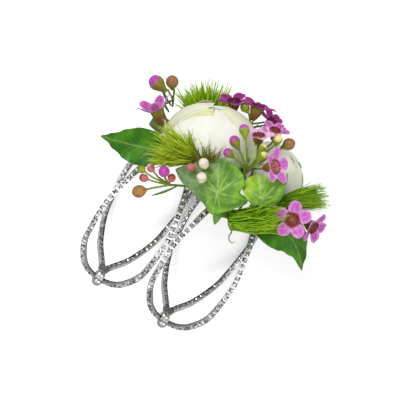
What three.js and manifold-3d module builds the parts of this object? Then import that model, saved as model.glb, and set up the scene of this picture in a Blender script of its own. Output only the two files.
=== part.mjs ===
import * as THREE from 'three';
import { mergeVertices } from 'three/addons/utils/BufferGeometryUtils.js';
import Module from 'manifold-3d';

// A wrist corsage standing on the back half of its spring cuff. X runs along the arm, Y from the
// cuff's mouth to the flowers, Z up. The cuff is two leaf-shaped loops of rhinestone channel, side by
// side, joined by a bar at the crown. A glue pad on the bar carries the flowers. All lengths are in
// millimetres, and places are measured from the middle of the cuff's wrist space.

const wasm = await Module();
wasm.setup();

// General clearances
const clearance = 0.3;
const flexGap = 0.8;
const facetTolerance = 0.05;

// Cuff
const cuffReach = 30.5;
const cuffHalfHeight = 29.06;
const cuffPower = 1.81;
const frontMouthAngle = THREE.MathUtils.degToRad(20.4);
const backMouthAngle = THREE.MathUtils.degToRad(11.2);
const loopPitch = 28.8;
const loopHalfWidth = 13.2;
const frontWidthShares = [[0, 0], [0.06, 0.36], [0.15, 0.66], [0.3, 0.95], [0.48, 1], [0.66, 0.8],
  [0.84, 0.54], [1, 0.54]];
const backWidthShares = [[0, 0], [0.06, 0.19], [0.15, 0.53], [0.3, 0.88], [0.48, 1], [0.66, 0.935],
  [0.84, 0.75], [1, 0.51]];
const flexRange = THREE.MathUtils.degToRad(12);
const flexSteps = 4;

// Rhinestone channel
const channelWidth = 2.1;
const channelDepth = 1.3;
const stoneRise = 0.55;
const stonePitch = 2.37;

// Tips of the loops
const ballRadius = 2.05;
const ballOut = 1.6;
const ballDrop = 1.4;
const tipLength = 3.4;
const tipNose = 1.2;
const tipAimShare = 0.02;

// Crown bar and glue pad
const barLength = 46;
const barWidth = 9;
const barDepth = 1.25;
const barSink = 0.2;
const barHeight = cuffReach - barSink;
const padLength = 60;
const padWidth = 18;
const padDepth = 0.9;
const padGap = 0.4;
const cornerRadius = 3;
const deckHeight = barHeight + barDepth / 2 + padGap + padDepth;
const padRoomShare = 0.9;

// The spray's size: half its length, how far it rises from the pad, and half its spread up and down
const sprayHalfLength = 48;
const sprayRise = 32;
const spraySpread = 40;

// Stems, leaves and needles
const stemRadius = 0.42;
const twigRadius = 0.36;
const leafWall = 0.5;
const salalWidth = 14.5;
const ivySpan = 17.1;
const needleWidth = 0.9;

// Buds: how wide and how high up their profile is, as shares of the bud's radius
const budRadius = 1.7;
const budProfileShares = [[0.8, 1.1], [1, 1.8], [0.75, 2.5]];
const budTopShare = 2.8;
const budNeckShare = 1.5;
const twigBowShare = 0.12;
const twigStepShares = [0, 0.5, 0.9];

// Ranunculus blooms
const mainBloomRadius = 17.6;
const mainBloomDepth = 9;
const secondBloomRadius = 12.5;
const secondBloomDepth = 8.5;
const calyxRadius = 4.4;
const calyxHeight = 6;
const calyxProfileShares = [[0, 0], [1, 0], [0.8, 0.33], [0.45, 1], [0, 1]];
const petalWall = 0.7;
const petalLift = 0.5;
const petalStepShares = [0, 0.33, 0.66, 0.96];
const rimBowAngle = 0.22;
const heartTiltShares = [0.1, 0.22, 0.34, 0.5, 0.72, 0.88];

// Wax flower blossoms
const blossomRadius = 6;
const blossomWall = 0.45;
const cupShare = 0.38;
const calyxShare = 0.8;
const blossomLiftShare = 0.22;

// Tufts
const strandLength = 18;
const strandTaperShare = 0.55;
const shortestShare = 0.8;
const headReach = 12;
const headDepth = 2.4;

// Finishes
const finishes = {
  silver: { color: 0xb9bbc0, roughness: 0.25, metalness: 0.95 },
  glue: { color: 0x8a8f7a, roughness: 0.7, metalness: 0 },
  cream: { color: 0xf3f3e6, roughness: 0.55, metalness: 0 },
  heart: { color: 0xc9d68a, roughness: 0.6, metalness: 0 },
  leaf: { color: 0x2f7a2c, roughness: 0.45, metalness: 0 },
  ivy: { color: 0x5b9a45, roughness: 0.5, metalness: 0 },
  tuft: { color: 0x7fb32f, roughness: 0.7, metalness: 0 },
  stem: { color: 0x6f8f35, roughness: 0.6, metalness: 0 },
  bud: { color: 0xa9706a, roughness: 0.5, metalness: 0 },
  pink: { color: 0xcf6fc4, roughness: 0.5, metalness: 0 },
  magenta: { color: 0x9c2f86, roughness: 0.5, metalness: 0 },
};

// Geometry helpers

function vector([x, y, z]) {
  return new THREE.Vector3(x, y, z);
}

// A place in the spray, from shares of its half length, rise and spread.
function spot([x, y, z]) {
  return new THREE.Vector3(x * sprayHalfLength, deckHeight + y * sprayRise, z * spraySpread);
}

// A place where a stem of the given radius lies on the glue pad.
function bed([x, z], radius) {
  return new THREE.Vector3(x * padLength / 2, deckHeight + clearance + radius, z * padWidth / 2);
}

function bodyOf(points, faces) {
  let volume = 0;
  for (const [a, b, c] of faces) {
    volume += points[a].dot(points[b].clone().cross(points[c]));
  }
  const turned = volume < 0 ? faces.map(([a, b, c]) => [a, c, b]) : faces;
  const vertProperties = new Float32Array(points.flatMap((point) => point.toArray()));
  const triVerts = new Uint32Array(turned.flat());
  return new wasm.Manifold(new wasm.Mesh({ numProp: 3, vertProperties, triVerts }));
}

function solidOf(geometry) {
  geometry.deleteAttribute('normal');
  geometry.deleteAttribute('uv');
  const merged = mergeVertices(geometry);
  const spots = merged.getAttribute('position');
  const points = [];
  for (let i = 0; i < spots.count; i += 1) {
    points.push(new THREE.Vector3().fromBufferAttribute(spots, i));
  }
  const index = merged.index.array;
  const faces = [];
  for (let i = 0; i < index.length; i += 3) {
    const [a, b, c] = index.slice(i, i + 3);
    if (a !== b && b !== c && c !== a) {
      faces.push([a, b, c]);
    }
  }
  return bodyOf(points, faces);
}

function middleOf(ring) {
  const middle = new THREE.Vector3();
  for (const point of ring) {
    middle.add(point);
  }
  return middle.divideScalar(ring.length);
}

// A closed body through rings of points. An open loft is closed at the middle of its end rings.
function loft(rings, closed = false) {
  const sections = closed ? rings : [[middleOf(rings[0])], ...rings, [middleOf(rings.at(-1))]];
  const starts = [];
  const points = [];
  for (const section of sections) {
    starts.push(points.length);
    points.push(...section);
  }
  const faces = [];
  const spans = closed ? sections.length : sections.length - 1;
  for (let i = 0; i < spans; i += 1) {
    const j = (i + 1) % sections.length;
    bridge(faces, starts[i], sections[i].length, starts[j], sections[j].length);
  }
  return bodyOf(points, faces);
}

function bridge(faces, a, countA, b, countB) {
  const count = Math.max(countA, countB);
  for (let k = 0; k < count; k += 1) {
    const next = (k + 1) % count;
    if (countA > 1) {
      faces.push([a + k, a + next, countB > 1 ? b + next : b]);
    }
    if (countB > 1) {
      faces.push([countA > 1 ? a + k : a, b + next, b + k]);
    }
  }
}

// The value at t of a curve through a table's rows that never swings past them.
function along(table, t) {
  let i = 1;
  while (i < table.length - 1 && table[i][0] < t) {
    i += 1;
  }
  const slope = (k) => (table[k][1] - table[k - 1][1]) / (table[k][0] - table[k - 1][0]);
  const knee = (k) => {
    if (k === 0 || k === table.length - 1) {
      return slope(Math.max(k, 1));
    }
    const before = slope(k);
    const after = slope(k + 1);
    return before * after > 0 ? 2 * before * after / (before + after) : 0;
  };
  const [x0, y0] = table[i - 1];
  const [x1, y1] = table[i];
  const step = x1 - x0;
  const u = (t - x0) / step;
  const rise = u * u * (3 - 2 * u);
  return y0 + (y1 - y0) * rise + step * u * (1 - u) * ((1 - u) * knee(i - 1) - u * knee(i));
}

// The share at which a rising or falling value reaches its target.
function shareWhere(value, target, low, high) {
  let [from, to] = [low, high];
  const rising = value(high) > value(low);
  for (let i = 0; i < 40; i += 1) {
    const middle = (from + to) / 2;
    if (value(middle) < target === rising) {
      from = middle;
    } else {
      to = middle;
    }
  }
  return from;
}

// Turns +Y to the facing and moves the origin to the place.
function seatAt(place, facing) {
  const turn = new THREE.Quaternion();
  turn.setFromUnitVectors(new THREE.Vector3(0, 1, 0), vector(facing).normalize());
  return new THREE.Matrix4().compose(place, turn, new THREE.Vector3(1, 1, 1));
}

function move(solid, matrix) {
  return solid.transform(matrix.elements);
}

// A round stem along a curve through places.
function stem(places, radius, sides, steps, grow) {
  const section = new THREE.Shape();
  for (let k = 0; k < sides; k += 1) {
    const turn = 2 * Math.PI * k / sides;
    const x = (radius + grow) * Math.cos(turn);
    const y = (radius + grow) * Math.sin(turn);
    if (k === 0) {
      section.moveTo(x, y);
    } else {
      section.lineTo(x, y);
    }
  }
  section.closePath();
  const extrudePath = new THREE.CatmullRomCurve3(places);
  return solidOf(new THREE.ExtrudeGeometry(section, { steps, bevelEnabled: false, extrudePath }));
}

// Cuff

function cuffPoint(angle) {
  const power = 2 / cuffPower;
  const y = -cuffReach * Math.sign(Math.cos(angle)) * Math.abs(Math.cos(angle)) ** power;
  const z = cuffHalfHeight * Math.abs(Math.sin(angle)) ** power;
  return [y, z];
}

// The middle line of one strand: side is the loop, edge the loop's left or right strand (0 is its
// middle), and half the front (+1) or back (-1) of the cuff.
class StrandPath extends THREE.Curve {
  constructor(side, edge, half) {
    super();
    this.side = side;
    this.edge = edge;
    this.half = half;
    this.mouthAngle = half > 0 ? frontMouthAngle : backMouthAngle;
    this.widthShares = half > 0 ? frontWidthShares : backWidthShares;
    const startWidth = (channelWidth + clearance) / 2;
    this.first = shareWhere((share) => this.width(share), startWidth, 0, this.widthShares[1][0]);
    this.last = shareWhere((share) => this.height(share), barWidth / 2 + flexGap, 0.5, 1);
  }

  width(share) {
    return along(this.widthShares, share) * loopHalfWidth;
  }

  height(share) {
    return cuffPoint(THREE.MathUtils.lerp(this.mouthAngle, Math.PI, share))[1];
  }

  at(share) {
    const [y, z] = cuffPoint(THREE.MathUtils.lerp(this.mouthAngle, Math.PI, share));
    const x = this.side * loopPitch / 2 + this.edge * this.width(share);
    return new THREE.Vector3(x, y, this.half * z);
  }

  getPoint(t) {
    return this.at(THREE.MathUtils.lerp(this.first, this.last, t));
  }
}

// One section of the channel: a flat back, two walls and the face of the stones.
function channelSection(path, share, rise, grow) {
  const place = path.getPointAt(share);
  const ahead = path.getTangentAt(share);
  const out = new THREE.Vector3(0, -ahead.z, ahead.y).normalize();
  if (out.dot(new THREE.Vector3(0, place.y, place.z)) < 0) {
    out.negate();
  }
  const across = new THREE.Vector3().crossVectors(ahead, out).normalize();
  if (share === 0 || share === 1) {
    place.addScaledVector(ahead, share === 0 ? -grow : grow);
  }
  const halfWidth = channelWidth / 2 + grow;
  const halfDepth = channelDepth / 2 + grow;
  const crest = halfDepth + rise;
  const base = [[-halfWidth, -halfDepth], [halfWidth, -halfDepth]];
  const corners = [...base, [halfWidth, crest], [-halfWidth, crest]];
  return corners.map(([x, y]) => place.clone().addScaledVector(across, x).addScaledVector(out, y));
}

// A strand of square stones: its outer face rises to a ridge over the middle of each stone.
function strand(side, edge, half, grow) {
  const path = new StrandPath(side, edge, half);
  const stones = Math.round(path.getLength() / stonePitch);
  const rings = [];
  for (let i = 0; i <= 2 * stones; i += 1) {
    const rise = i % 2 === 1 ? stoneRise : 0;
    rings.push(channelSection(path, i / (2 * stones), rise, grow));
  }
  return loft(rings);
}

// The space that a strand fills, stones and clearance included.
function strandRoom(side, edge, half) {
  const path = new StrandPath(side, edge, half);
  const steps = 24;
  const rings = [];
  for (let i = 0; i <= steps; i += 1) {
    rings.push(channelSection(path, i / steps, stoneRise, clearance));
  }
  return loft(rings);
}

function ballPlace(side, half) {
  const tip = new StrandPath(side, 0, half).at(0);
  return tip.add(new THREE.Vector3(0, -ballOut, -half * ballDrop));
}

function ball(grow) {
  return solidOf(new THREE.SphereGeometry(ballRadius + grow, 8, 6));
}

// The plate at a loop's tip, cut to take its two strands and its ball.
function tipPlate(side, half) {
  const path = new StrandPath(side, 0, half);
  const tip = path.at(0);
  const ahead = path.at(tipAimShare).sub(tip).normalize();
  const across = new THREE.Vector3(1, 0, 0);
  const out = new THREE.Vector3().crossVectors(across, ahead);
  const halfWidth = channelWidth + clearance;
  const outline = new THREE.Shape();
  outline.moveTo(-halfWidth, tipLength);
  outline.bezierCurveTo(-halfWidth, 0, -halfWidth / 2, -tipNose, 0, -tipNose);
  outline.bezierCurveTo(halfWidth / 2, -tipNose, halfWidth, 0, halfWidth, tipLength);
  outline.closePath();
  const settings = { depth: channelDepth, bevelEnabled: false, curveSegments: 5 };
  const flat = new THREE.ExtrudeGeometry(outline, settings).translate(0, 0, -channelDepth / 2);
  const turn = new THREE.Matrix4().makeBasis(across, ahead, out).setPosition(tip);
  let plate = move(solidOf(flat), turn);
  plate = plate.subtract(strand(side, -1, half, clearance));
  plate = plate.subtract(strand(side, 1, half, clearance));
  plate = plate.subtract(move(ball(clearance), seatAt(ballPlace(side, half), [0, 1, 0])));
  return largestOf(plate);
}

// A flat plate with round corners, lying in X and Z, with its outer face at the given height.
function roundedPlate(length, width, depth, height, grow) {
  const x = length / 2 + grow;
  const z = width / 2 + grow;
  const r = cornerRadius + grow;
  const outline = new THREE.Shape();
  outline.moveTo(-x + r, -z);
  outline.lineTo(x - r, -z);
  outline.absarc(x - r, -z + r, r, -Math.PI / 2, 0, false);
  outline.lineTo(x, z - r);
  outline.absarc(x - r, z - r, r, 0, Math.PI / 2, false);
  outline.lineTo(-x + r, z);
  outline.absarc(-x + r, z - r, r, Math.PI / 2, Math.PI, false);
  outline.lineTo(-x, -z + r);
  outline.absarc(-x + r, -z + r, r, Math.PI, 1.5 * Math.PI, false);
  const settings = { depth: depth + 2 * grow, bevelEnabled: false, curveSegments: 3 };
  const flat = new THREE.ExtrudeGeometry(outline, settings);
  return solidOf(flat.rotateX(Math.PI / 2).translate(0, height + grow, 0));
}

function largestOf(solid) {
  const parts = solid.decompose();
  parts.sort((a, b) => b.volume() - a.volume());
  return parts[0];
}

// Petals and blossoms, made with the flower facing +Y

// One whorl of a ranunculus: a cup whose petals each lift off the one beside them at one edge.
function whorl({ radius, depth, petals, open, foot, phase }, grow) {
  const steps = 3;
  const rings = [];
  for (let i = 0; i < petals; i += 1) {
    for (const share of petalStepShares) {
      const turn = phase + 2 * Math.PI * (i + share) / petals;
      const lift = petalLift * share;
      const rim = open + rimBowAngle * (2 * share - 1) ** 2 - grow / radius;
      const wallPoint = (t, skin) => {
        const tilt = THREE.MathUtils.lerp(rim, foot + grow / radius, t);
        const reach = (radius + lift + skin) * Math.sin(tilt);
        const height = (depth + lift + skin) * Math.cos(tilt);
        return new THREE.Vector3(reach * Math.cos(turn), height, reach * Math.sin(turn));
      };
      const ring = [];
      for (let k = 0; k <= steps; k += 1) {
        ring.push(wallPoint(k / steps, grow));
      }
      for (let k = steps; k >= 0; k -= 1) {
        ring.push(wallPoint(k / steps, -petalWall - grow));
      }
      rings.push(ring);
    }
  }
  return loft(rings, true);
}

// The tight heart of a bloom, with a spiral of small petals pressed into its top.
function heart({ radius, depth, turns }, grow) {
  const around = 14;
  const rings = heartTiltShares.map((share, row) => {
    const ring = [];
    for (let k = 0; k < around; k += 1) {
      const turn = 2 * Math.PI * k / around;
      const saw = ((k * turns / around + row / 3) % 1) * petalLift;
      const reach = (radius - saw + grow) * Math.sin(share * Math.PI);
      const height = (depth - saw + grow) * Math.cos(share * Math.PI);
      ring.push(new THREE.Vector3(reach * Math.cos(turn), height, reach * Math.sin(turn)));
    }
    return ring;
  });
  return loft(rings);
}

// A wax flower: a cone of calyx, a round cup and five petals spread from the cup's rim.
function blossom({ radius, cup, depth, lift }, grow) {
  const petals = 5;
  const edgeShares = [0.02, 0.86, 1, 0.86];
  const perPetal = edgeShares.length;
  const ringOf = (reach, height) => {
    const ring = [];
    for (let k = 0; k < petals * perPetal; k += 1) {
      const turn = 2 * Math.PI * k / (petals * perPetal);
      const r = reach(edgeShares[k % perPetal]);
      ring.push(new THREE.Vector3(r * Math.cos(turn), height, r * Math.sin(turn)));
    }
    return ring;
  };
  const rim = cup + blossomWall;
  const tip = (edge) => THREE.MathUtils.lerp(rim, radius, edge) + grow;
  const middle = (edge) => THREE.MathUtils.lerp(rim, radius, edge / 2) + grow;
  return loft([
    [new THREE.Vector3(0, -cup / 3 + grow, 0)],
    ringOf(middle, cup / 5 + lift / 3 + grow),
    ringOf(tip, lift + blossomWall + grow),
    ringOf(tip, lift - grow),
    ringOf(() => rim + grow, -cup / 5 - grow),
    ringOf(() => rim / 2 + grow, -depth - grow),
  ]);
}

// A ring of points round a place, square to a direction. Its first point lies towards the aside.
function ringRound(place, ahead, aside, radius, sides) {
  const across = aside.clone().projectOnPlane(ahead).normalize();
  const upward = new THREE.Vector3().crossVectors(ahead, across);
  const ring = [];
  for (let k = 0; k < sides; k += 1) {
    const turn = 2 * Math.PI * k / sides;
    ring.push(place.clone()
      .addScaledVector(across, radius * Math.cos(turn))
      .addScaledVector(upward, radius * Math.sin(turn)));
  }
  return ring;
}

// A twig that bows from its fork to the bud's place and swells into the bud.
function buddedTwig(fork, ahead, place, radius, grow) {
  const bow = twigBowShare * place.distanceTo(fork);
  const knee = fork.clone().lerp(place, 0.5).addScaledVector(ahead, bow);
  const facing = place.clone().sub(knee).normalize();
  const neck = place.clone().addScaledVector(facing, -budNeckShare * radius);
  const start = fork.clone().addScaledVector(ahead, -twigRadius);
  const aside = new THREE.Vector3(ahead.y, ahead.z, ahead.x).cross(ahead);
  const sides = 6;
  const line = new THREE.CatmullRomCurve3([start, knee, neck]);
  const rings = twigStepShares.map((t) => (
    ringRound(line.getPoint(t), line.getTangent(t), aside, twigRadius + grow, sides)
  ));
  for (const [reach, height] of budProfileShares) {
    const middle = neck.clone().addScaledVector(facing, height * radius);
    rings.push(ringRound(middle, facing, aside, reach * radius + grow, sides));
  }
  rings.push([neck.clone().addScaledVector(facing, budTopShare * radius + grow)]);
  return loft(rings);
}

// Leaves

// A pointed leaf with a fold along its middle, on a bent midrib.
function blade({ base, bend, tip, facing, width, foldShare, widthShares, acrossShares }, grow) {
  const midrib = new THREE.QuadraticBezierCurve3(base, bend, tip);
  const steps = widthShares.length - 1;
  const rings = widthShares.map((share, i) => {
    const place = midrib.getPoint(i / steps);
    const ahead = midrib.getTangent(i / steps);
    const across = new THREE.Vector3().crossVectors(ahead, vector(facing)).normalize();
    const up = new THREE.Vector3().crossVectors(across, ahead).normalize();
    const halfWidth = share * width / 2;
    if (i === 0 || i === steps) {
      place.addScaledVector(ahead, i === 0 ? -grow : grow);
    }
    const skin = (t, level) => {
      const rise = foldShare * halfWidth * t ** 2 + level;
      const reach = t * (halfWidth + grow);
      return place.clone().addScaledVector(across, reach).addScaledVector(up, rise);
    };
    const top = acrossShares.map((t) => skin(t, leafWall / 2 + grow));
    const under = acrossShares.map((t) => skin(-t, -leafWall / 2 - grow));
    return [...top, ...under];
  });
  return loft(rings);
}

// A lobed leaf spread round the point where its stalk joins it. Angles run from the main lobe.
function lobedLeaf({ place, ahead, facing, spanShare, dishShare, lobeShares }, grow) {
  const span = spanShare * ivySpan;
  const innerShare = 0.45;
  const up = vector(facing).normalize();
  const across = new THREE.Vector3().crossVectors(vector(ahead), up).normalize();
  const forward = new THREE.Vector3().crossVectors(up, across);
  const ringOf = (reachShare, level) => lobeShares.map(([degrees, lobe]) => {
    const turn = THREE.MathUtils.degToRad(degrees);
    const reach = reachShare * lobe * span;
    const swell = reach > 0 ? grow : 0;
    const fall = -dishShare * span * (reachShare * lobe) ** 2;
    return place.clone()
      .addScaledVector(forward, (reach + swell) * Math.cos(turn))
      .addScaledVector(across, (reach + swell) * Math.sin(turn))
      .addScaledVector(up, fall + level);
  });
  const top = leafWall / 2 + grow;
  return loft([ringOf(innerShare, top), ringOf(1, top), ringOf(1, -top), ringOf(innerShare, -top)]);
}

function needle(base, tip, grow) {
  const bend = base.clone().lerp(tip, 0.5);
  const widthShares = [0.4, 1, 0.1];
  const shape = { base, bend, tip, facing: [0, 0, 1], width: needleWidth, foldShare: 0, widthShares };
  return blade({ ...shape, acrossShares: [-1, 1] }, grow);
}

// Tufts

// The corners of a round patch of triangles, ring by ring, and the triangles between them.
function roundPatch(rows) {
  const corners = [[0, 0]];
  const faces = [];
  const first = (row) => (row === 0 ? 0 : 1 + 3 * row * (row - 1));
  for (let row = 1; row <= rows; row += 1) {
    const count = 6 * row;
    for (let k = 0; k < count; k += 1) {
      corners.push([row / rows, 2 * Math.PI * k / count]);
      const side = Math.floor(k / row);
      const inner = row === 1 ? 0 : first(row - 1) + (k - side) % (6 * (row - 1));
      const outer = first(row) + k;
      const next = first(row) + (k + 1) % count;
      faces.push([inner, outer, next]);
      if (k % row !== row - 1) {
        const innerNext = first(row - 1) + (k - side + 1) % (6 * (row - 1));
        faces.push([inner, next, innerNext]);
      }
    }
  }
  return { corners, faces, rim: first(rows) };
}

// A fan of fine three-sided strands, along +Y, that stand side by side on a round head. All point
// away from one centre, fanReach behind the head, so that no two cross.
function fan({ rows, lengthShare, reachShare, spread }, grow) {
  const length = lengthShare * strandLength;
  const fanReach = reachShare * headReach;
  const { corners, faces, rim } = roundPatch(rows);
  const wide = 1 + grow / (fanReach * spread);
  const away = ([share, turn], reach) => {
    const tilt = share * spread * wide;
    const across = reach * Math.sin(tilt);
    return new THREE.Vector3(
      across * Math.cos(turn),
      reach * Math.cos(tilt) - fanReach,
      across * Math.sin(turn),
    );
  };
  const points = corners.map((corner) => away(corner, fanReach));
  const walls = [];
  faces.forEach((face, i) => {
    const reach = fanReach + length * THREE.MathUtils.lerp(shortestShare, 1, ((i * 7) % 5) / 4) + grow;
    const root = middleOf(face.map((k) => points[k]));
    const ahead = root.clone().add(new THREE.Vector3(0, fanReach, 0)).normalize();
    const belt = points.length;
    for (const k of face) {
      const offset = points[k].clone().sub(root).multiplyScalar(strandTaperShare);
      points.push(root.clone().addScaledVector(ahead, length / 2).add(offset));
    }
    points.push(ahead.clone().multiplyScalar(reach).sub(new THREE.Vector3(0, fanReach, 0)));
    for (let k = 0; k < 3; k += 1) {
      const next = (k + 1) % 3;
      walls.push([face[k], face[next], belt + next]);
      walls.push([face[k], belt + next, belt + k]);
      walls.push([belt + k, belt + next, belt + 3]);
    }
  });
  const back = points.length;
  points.push(new THREE.Vector3(0, -headDepth - grow, 0));
  for (let k = 0; k < 6 * rows; k += 1) {
    walls.push([rim + (k + 1) % (6 * rows), rim + k, back]);
  }
  return bodyOf(points, walls);
}

// The pieces of the spray. Each has a seat, and a make function that gives its solid in place, grown
// on all sides where its neighbours are to be cut clear of it.

function standing(name, finish, seat, build) {
  return { name, finish, seat, make: (grow) => move(build(grow), seat) };
}

function rooted(name, finish, root, make) {
  return { name, finish, seat: new THREE.Matrix4().setPosition(root), make };
}

const pieces = [];

// Wax flower sprigs: a main stalk from the pad to a fork, and a twig with a bud from the fork to
// each bud's place, whose last share is of the bud radius. Needles lie along the twigs.
const sprigs = [
  {
    name: 'waxflower_sprig_upper_left',
    bedShares: [-0.72, 0.35],
    stalkShares: [[-0.6, 0.14, -0.05], [-0.57, 0.33, 0.05]],
    budShares: [[-0.731, 0.475, 0.293, 1.62], [-0.646, 0.543, 0.194, 1.38]],
    needleShares: [[-0.58, 0.26, 0.01, -0.7, 0.36, 0]],
  },
  {
    name: 'waxflower_sprig_left',
    bedShares: [-0.22, 0.7],
    stalkShares: [[-0.15, 0.035, 0.26], [-0.13, -0.02, 0.4], [-0.11, -0.14, 0.7], [-0.25, -0.22, 0.88]],
    budShares: [[-0.434, -0.303, 0.903, 0.9], [-0.409, -0.444, 0.936, 1.35], [-0.339, -0.1, 0.943, 1.2],
      [-0.267, -0.13, 0.92, 0.85], [-0.485, -0.245, 0.878, 0.85], [-0.431, -0.183, 0.864, 0.85]],
    needleShares: [[-0.2, -0.2, 0.85, -0.32, -0.44, 0.88], [-0.115, -0.15, 0.72, -0.2, -0.06, 0.84]],
  },
  {
    name: 'waxflower_sprig_middle',
    bedShares: [0.2, 0.75],
    stalkShares: [[0.16, 0.05, 0.3], [0.17, 0.2, 0.46], [0.18, 0.42, 0.66]],
    budShares: [[-0.01, 0.44, 0.82, 1], [-0.015, 0.56, 0.744, 1.15], [-0.003, 0.698, 0.664, 1.15],
      [0.18, 0.64, 0.66, 0.88], [0.212, 0.585, 0.729, 0.95], [0.244, 0.757, 0.493, 1.1],
      [0.333, 0.75, 0.4, 1.3]],
    needleShares: [[0.16, 0.4, 0.6, 0.08, 0.52, 0.74]],
  },
  {
    name: 'waxflower_sprig_top_right',
    bedShares: [0.12, -0.75],
    stalkShares: [[0.06, 0.2, -0.22], [0.03, 0.5, -0.2]],
    budShares: [[-0.07, 0.66, -0.1, 1.06], [0.2, 0.66, -0.15, 0.88]],
    needleShares: [],
  },
  {
    name: 'waxflower_sprig_right',
    bedShares: [0.8, 0.1],
    stalkShares: [[0.62, 0.06, 0.3], [0.66, 0.1, 0.48]],
    budShares: [[0.76, 0.04, 0.58, 0.65]],
    needleShares: [],
  },
];

function sprig({ bedShares, stalkShares, budShares, needleShares }, grow) {
  const stalk = [bed(bedShares, stemRadius), ...stalkShares.map(spot)];
  const fork = stalk.at(-1);
  const before = stalk.at(-2);
  const ahead = fork.clone().sub(before).normalize();
  const parts = [stem(stalk, stemRadius, 5, 2 * stalk.length - 2, grow)];
  for (const [x, y, z, size] of budShares) {
    parts.push(buddedTwig(fork, ahead, spot([x, y, z]), size * budRadius, grow));
  }
  for (const [x0, y0, z0, x1, y1, z1] of needleShares) {
    parts.push(needle(spot([x0, y0, z0]), spot([x1, y1, z1]), grow));
  }
  return wasm.Manifold.union(parts);
}

for (const each of sprigs) {
  pieces.push(rooted(each.name, 'stem', bed(each.bedShares, stemRadius), (grow) => sprig(each, grow)));
}

// Open blossoms, each on a stalk of its own from the pad.
const blossoms = [
  { name: 'blossom_upper_left', finish: 'pink', placeShares: [-0.635, 0.243, 0.4],
    facing: [-0.8, 0.6, 0.05], sizeShare: 1, routeShares: [[-0.8, 0.6], [-0.62, 0.06, 0.3]] },
  { name: 'blossom_top_left', finish: 'magenta', placeShares: [-0.173, 0.661, -0.084],
    facing: [-0.48, 0.83, 0.24], sizeShare: 1, routeShares: [[-0.02, -0.8], [-0.08, 0.3, -0.3]] },
  { name: 'blossom_top_middle', finish: 'magenta', placeShares: [-0.019, 0.835, 0.005],
    facing: [-0.2, 0.96, -0.11], sizeShare: 1.08, routeShares: [[0.06, -0.8], [0.03, 0.3, -0.28]] },
  { name: 'blossom_top_right', finish: 'magenta', placeShares: [0.16, 0.72, -0.03],
    facing: [0.18, 0.96, 0.06], sizeShare: 1, routeShares: [[0.2, -0.8], [0.12, 0.3, -0.24]] },
  { name: 'blossom_middle', finish: 'pink', placeShares: [0.109, 0.699, 0.541],
    facing: [-0.46, 0.86, 0.12], sizeShare: 0.92,
    routeShares: [[0.32, 0.8], [0.24, 0.05, 0.34], [0.22, 0.3, 0.5]] },
  { name: 'blossom_middle_right', finish: 'pink', placeShares: [0.195, 0.804, 0.395],
    facing: [-0.24, 0.92, 0.21], sizeShare: 0.84, routeShares: [[0.26, -0.2], [0.17, 0.35, 0.14]] },
  { name: 'blossom_right', finish: 'pink', placeShares: [0.329, 0.58, 0.754],
    facing: [0.6, 0.69, 0.42], sizeShare: 1.07, routeShares: [[0.28, 0.5], [0.17, 0.25, 0.4]] },
  { name: 'blossom_lower_right', finish: 'pink', placeShares: [0.66, 0.15, 0.7],
    facing: [0, 0.3, 0.95], sizeShare: 1.1, routeShares: [[0.9, 0.35], [0.66, 0.05, 0.28]] },
  { name: 'blossom_far_right', finish: 'pink', placeShares: [0.83, 0.15, 0.55],
    facing: [0.85, 0.1, 0.5], sizeShare: 1, routeShares: [[0.92, 0], [0.7, 0.06, 0.28]] },
];

function stalkedBlossom({ placeShares, facing, sizeShare, routeShares }, grow) {
  const place = spot(placeShares);
  const radius = sizeShare * blossomRadius;
  const ahead = vector(facing).normalize();
  const depth = calyxShare * radius;
  const foot = place.clone().addScaledVector(ahead, -depth);
  const inside = foot.clone().addScaledVector(ahead, depth / 3);
  const behind = foot.clone().addScaledVector(ahead, -depth / 2);
  const [bedShares, ...waysShares] = routeShares;
  const stalk = [bed(bedShares, twigRadius), ...waysShares.map(spot), behind, inside];
  const shape = { radius, cup: cupShare * radius, depth, lift: blossomLiftShare * radius };
  return wasm.Manifold.union([
    stem(stalk, twigRadius, 4, 6, grow),
    move(blossom(shape, grow), seatAt(place, facing)),
  ]);
}

for (const each of blossoms) {
  const root = bed(each.routeShares[0], twigRadius);
  pieces.push(rooted(each.name, each.finish, root, (grow) => stalkedBlossom(each, grow)));
}

// A small sprig of pale buds in the middle of the spray.
const paleSprig = {
  bedShares: [-0.1, 0.85],
  stalkShares: [[-0.06, 0.04, 0.28], [-0.05, 0, 0.58], [-0.04, 0.14, 0.78], [-0.06, 0.2, 0.9]],
  budShares: [[-0.187, 0.133, 0.98, 0.85], [-0.123, 0.236, 0.976, 1.2], [-0.082, 0.139, 1.025, 1.2]],
  needleShares: [],
};
const paleRoot = bed(paleSprig.bedShares, stemRadius);
pieces.push(rooted('pale_bud_sprig', 'bud', paleRoot, (grow) => sprig(paleSprig, grow)));

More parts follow.
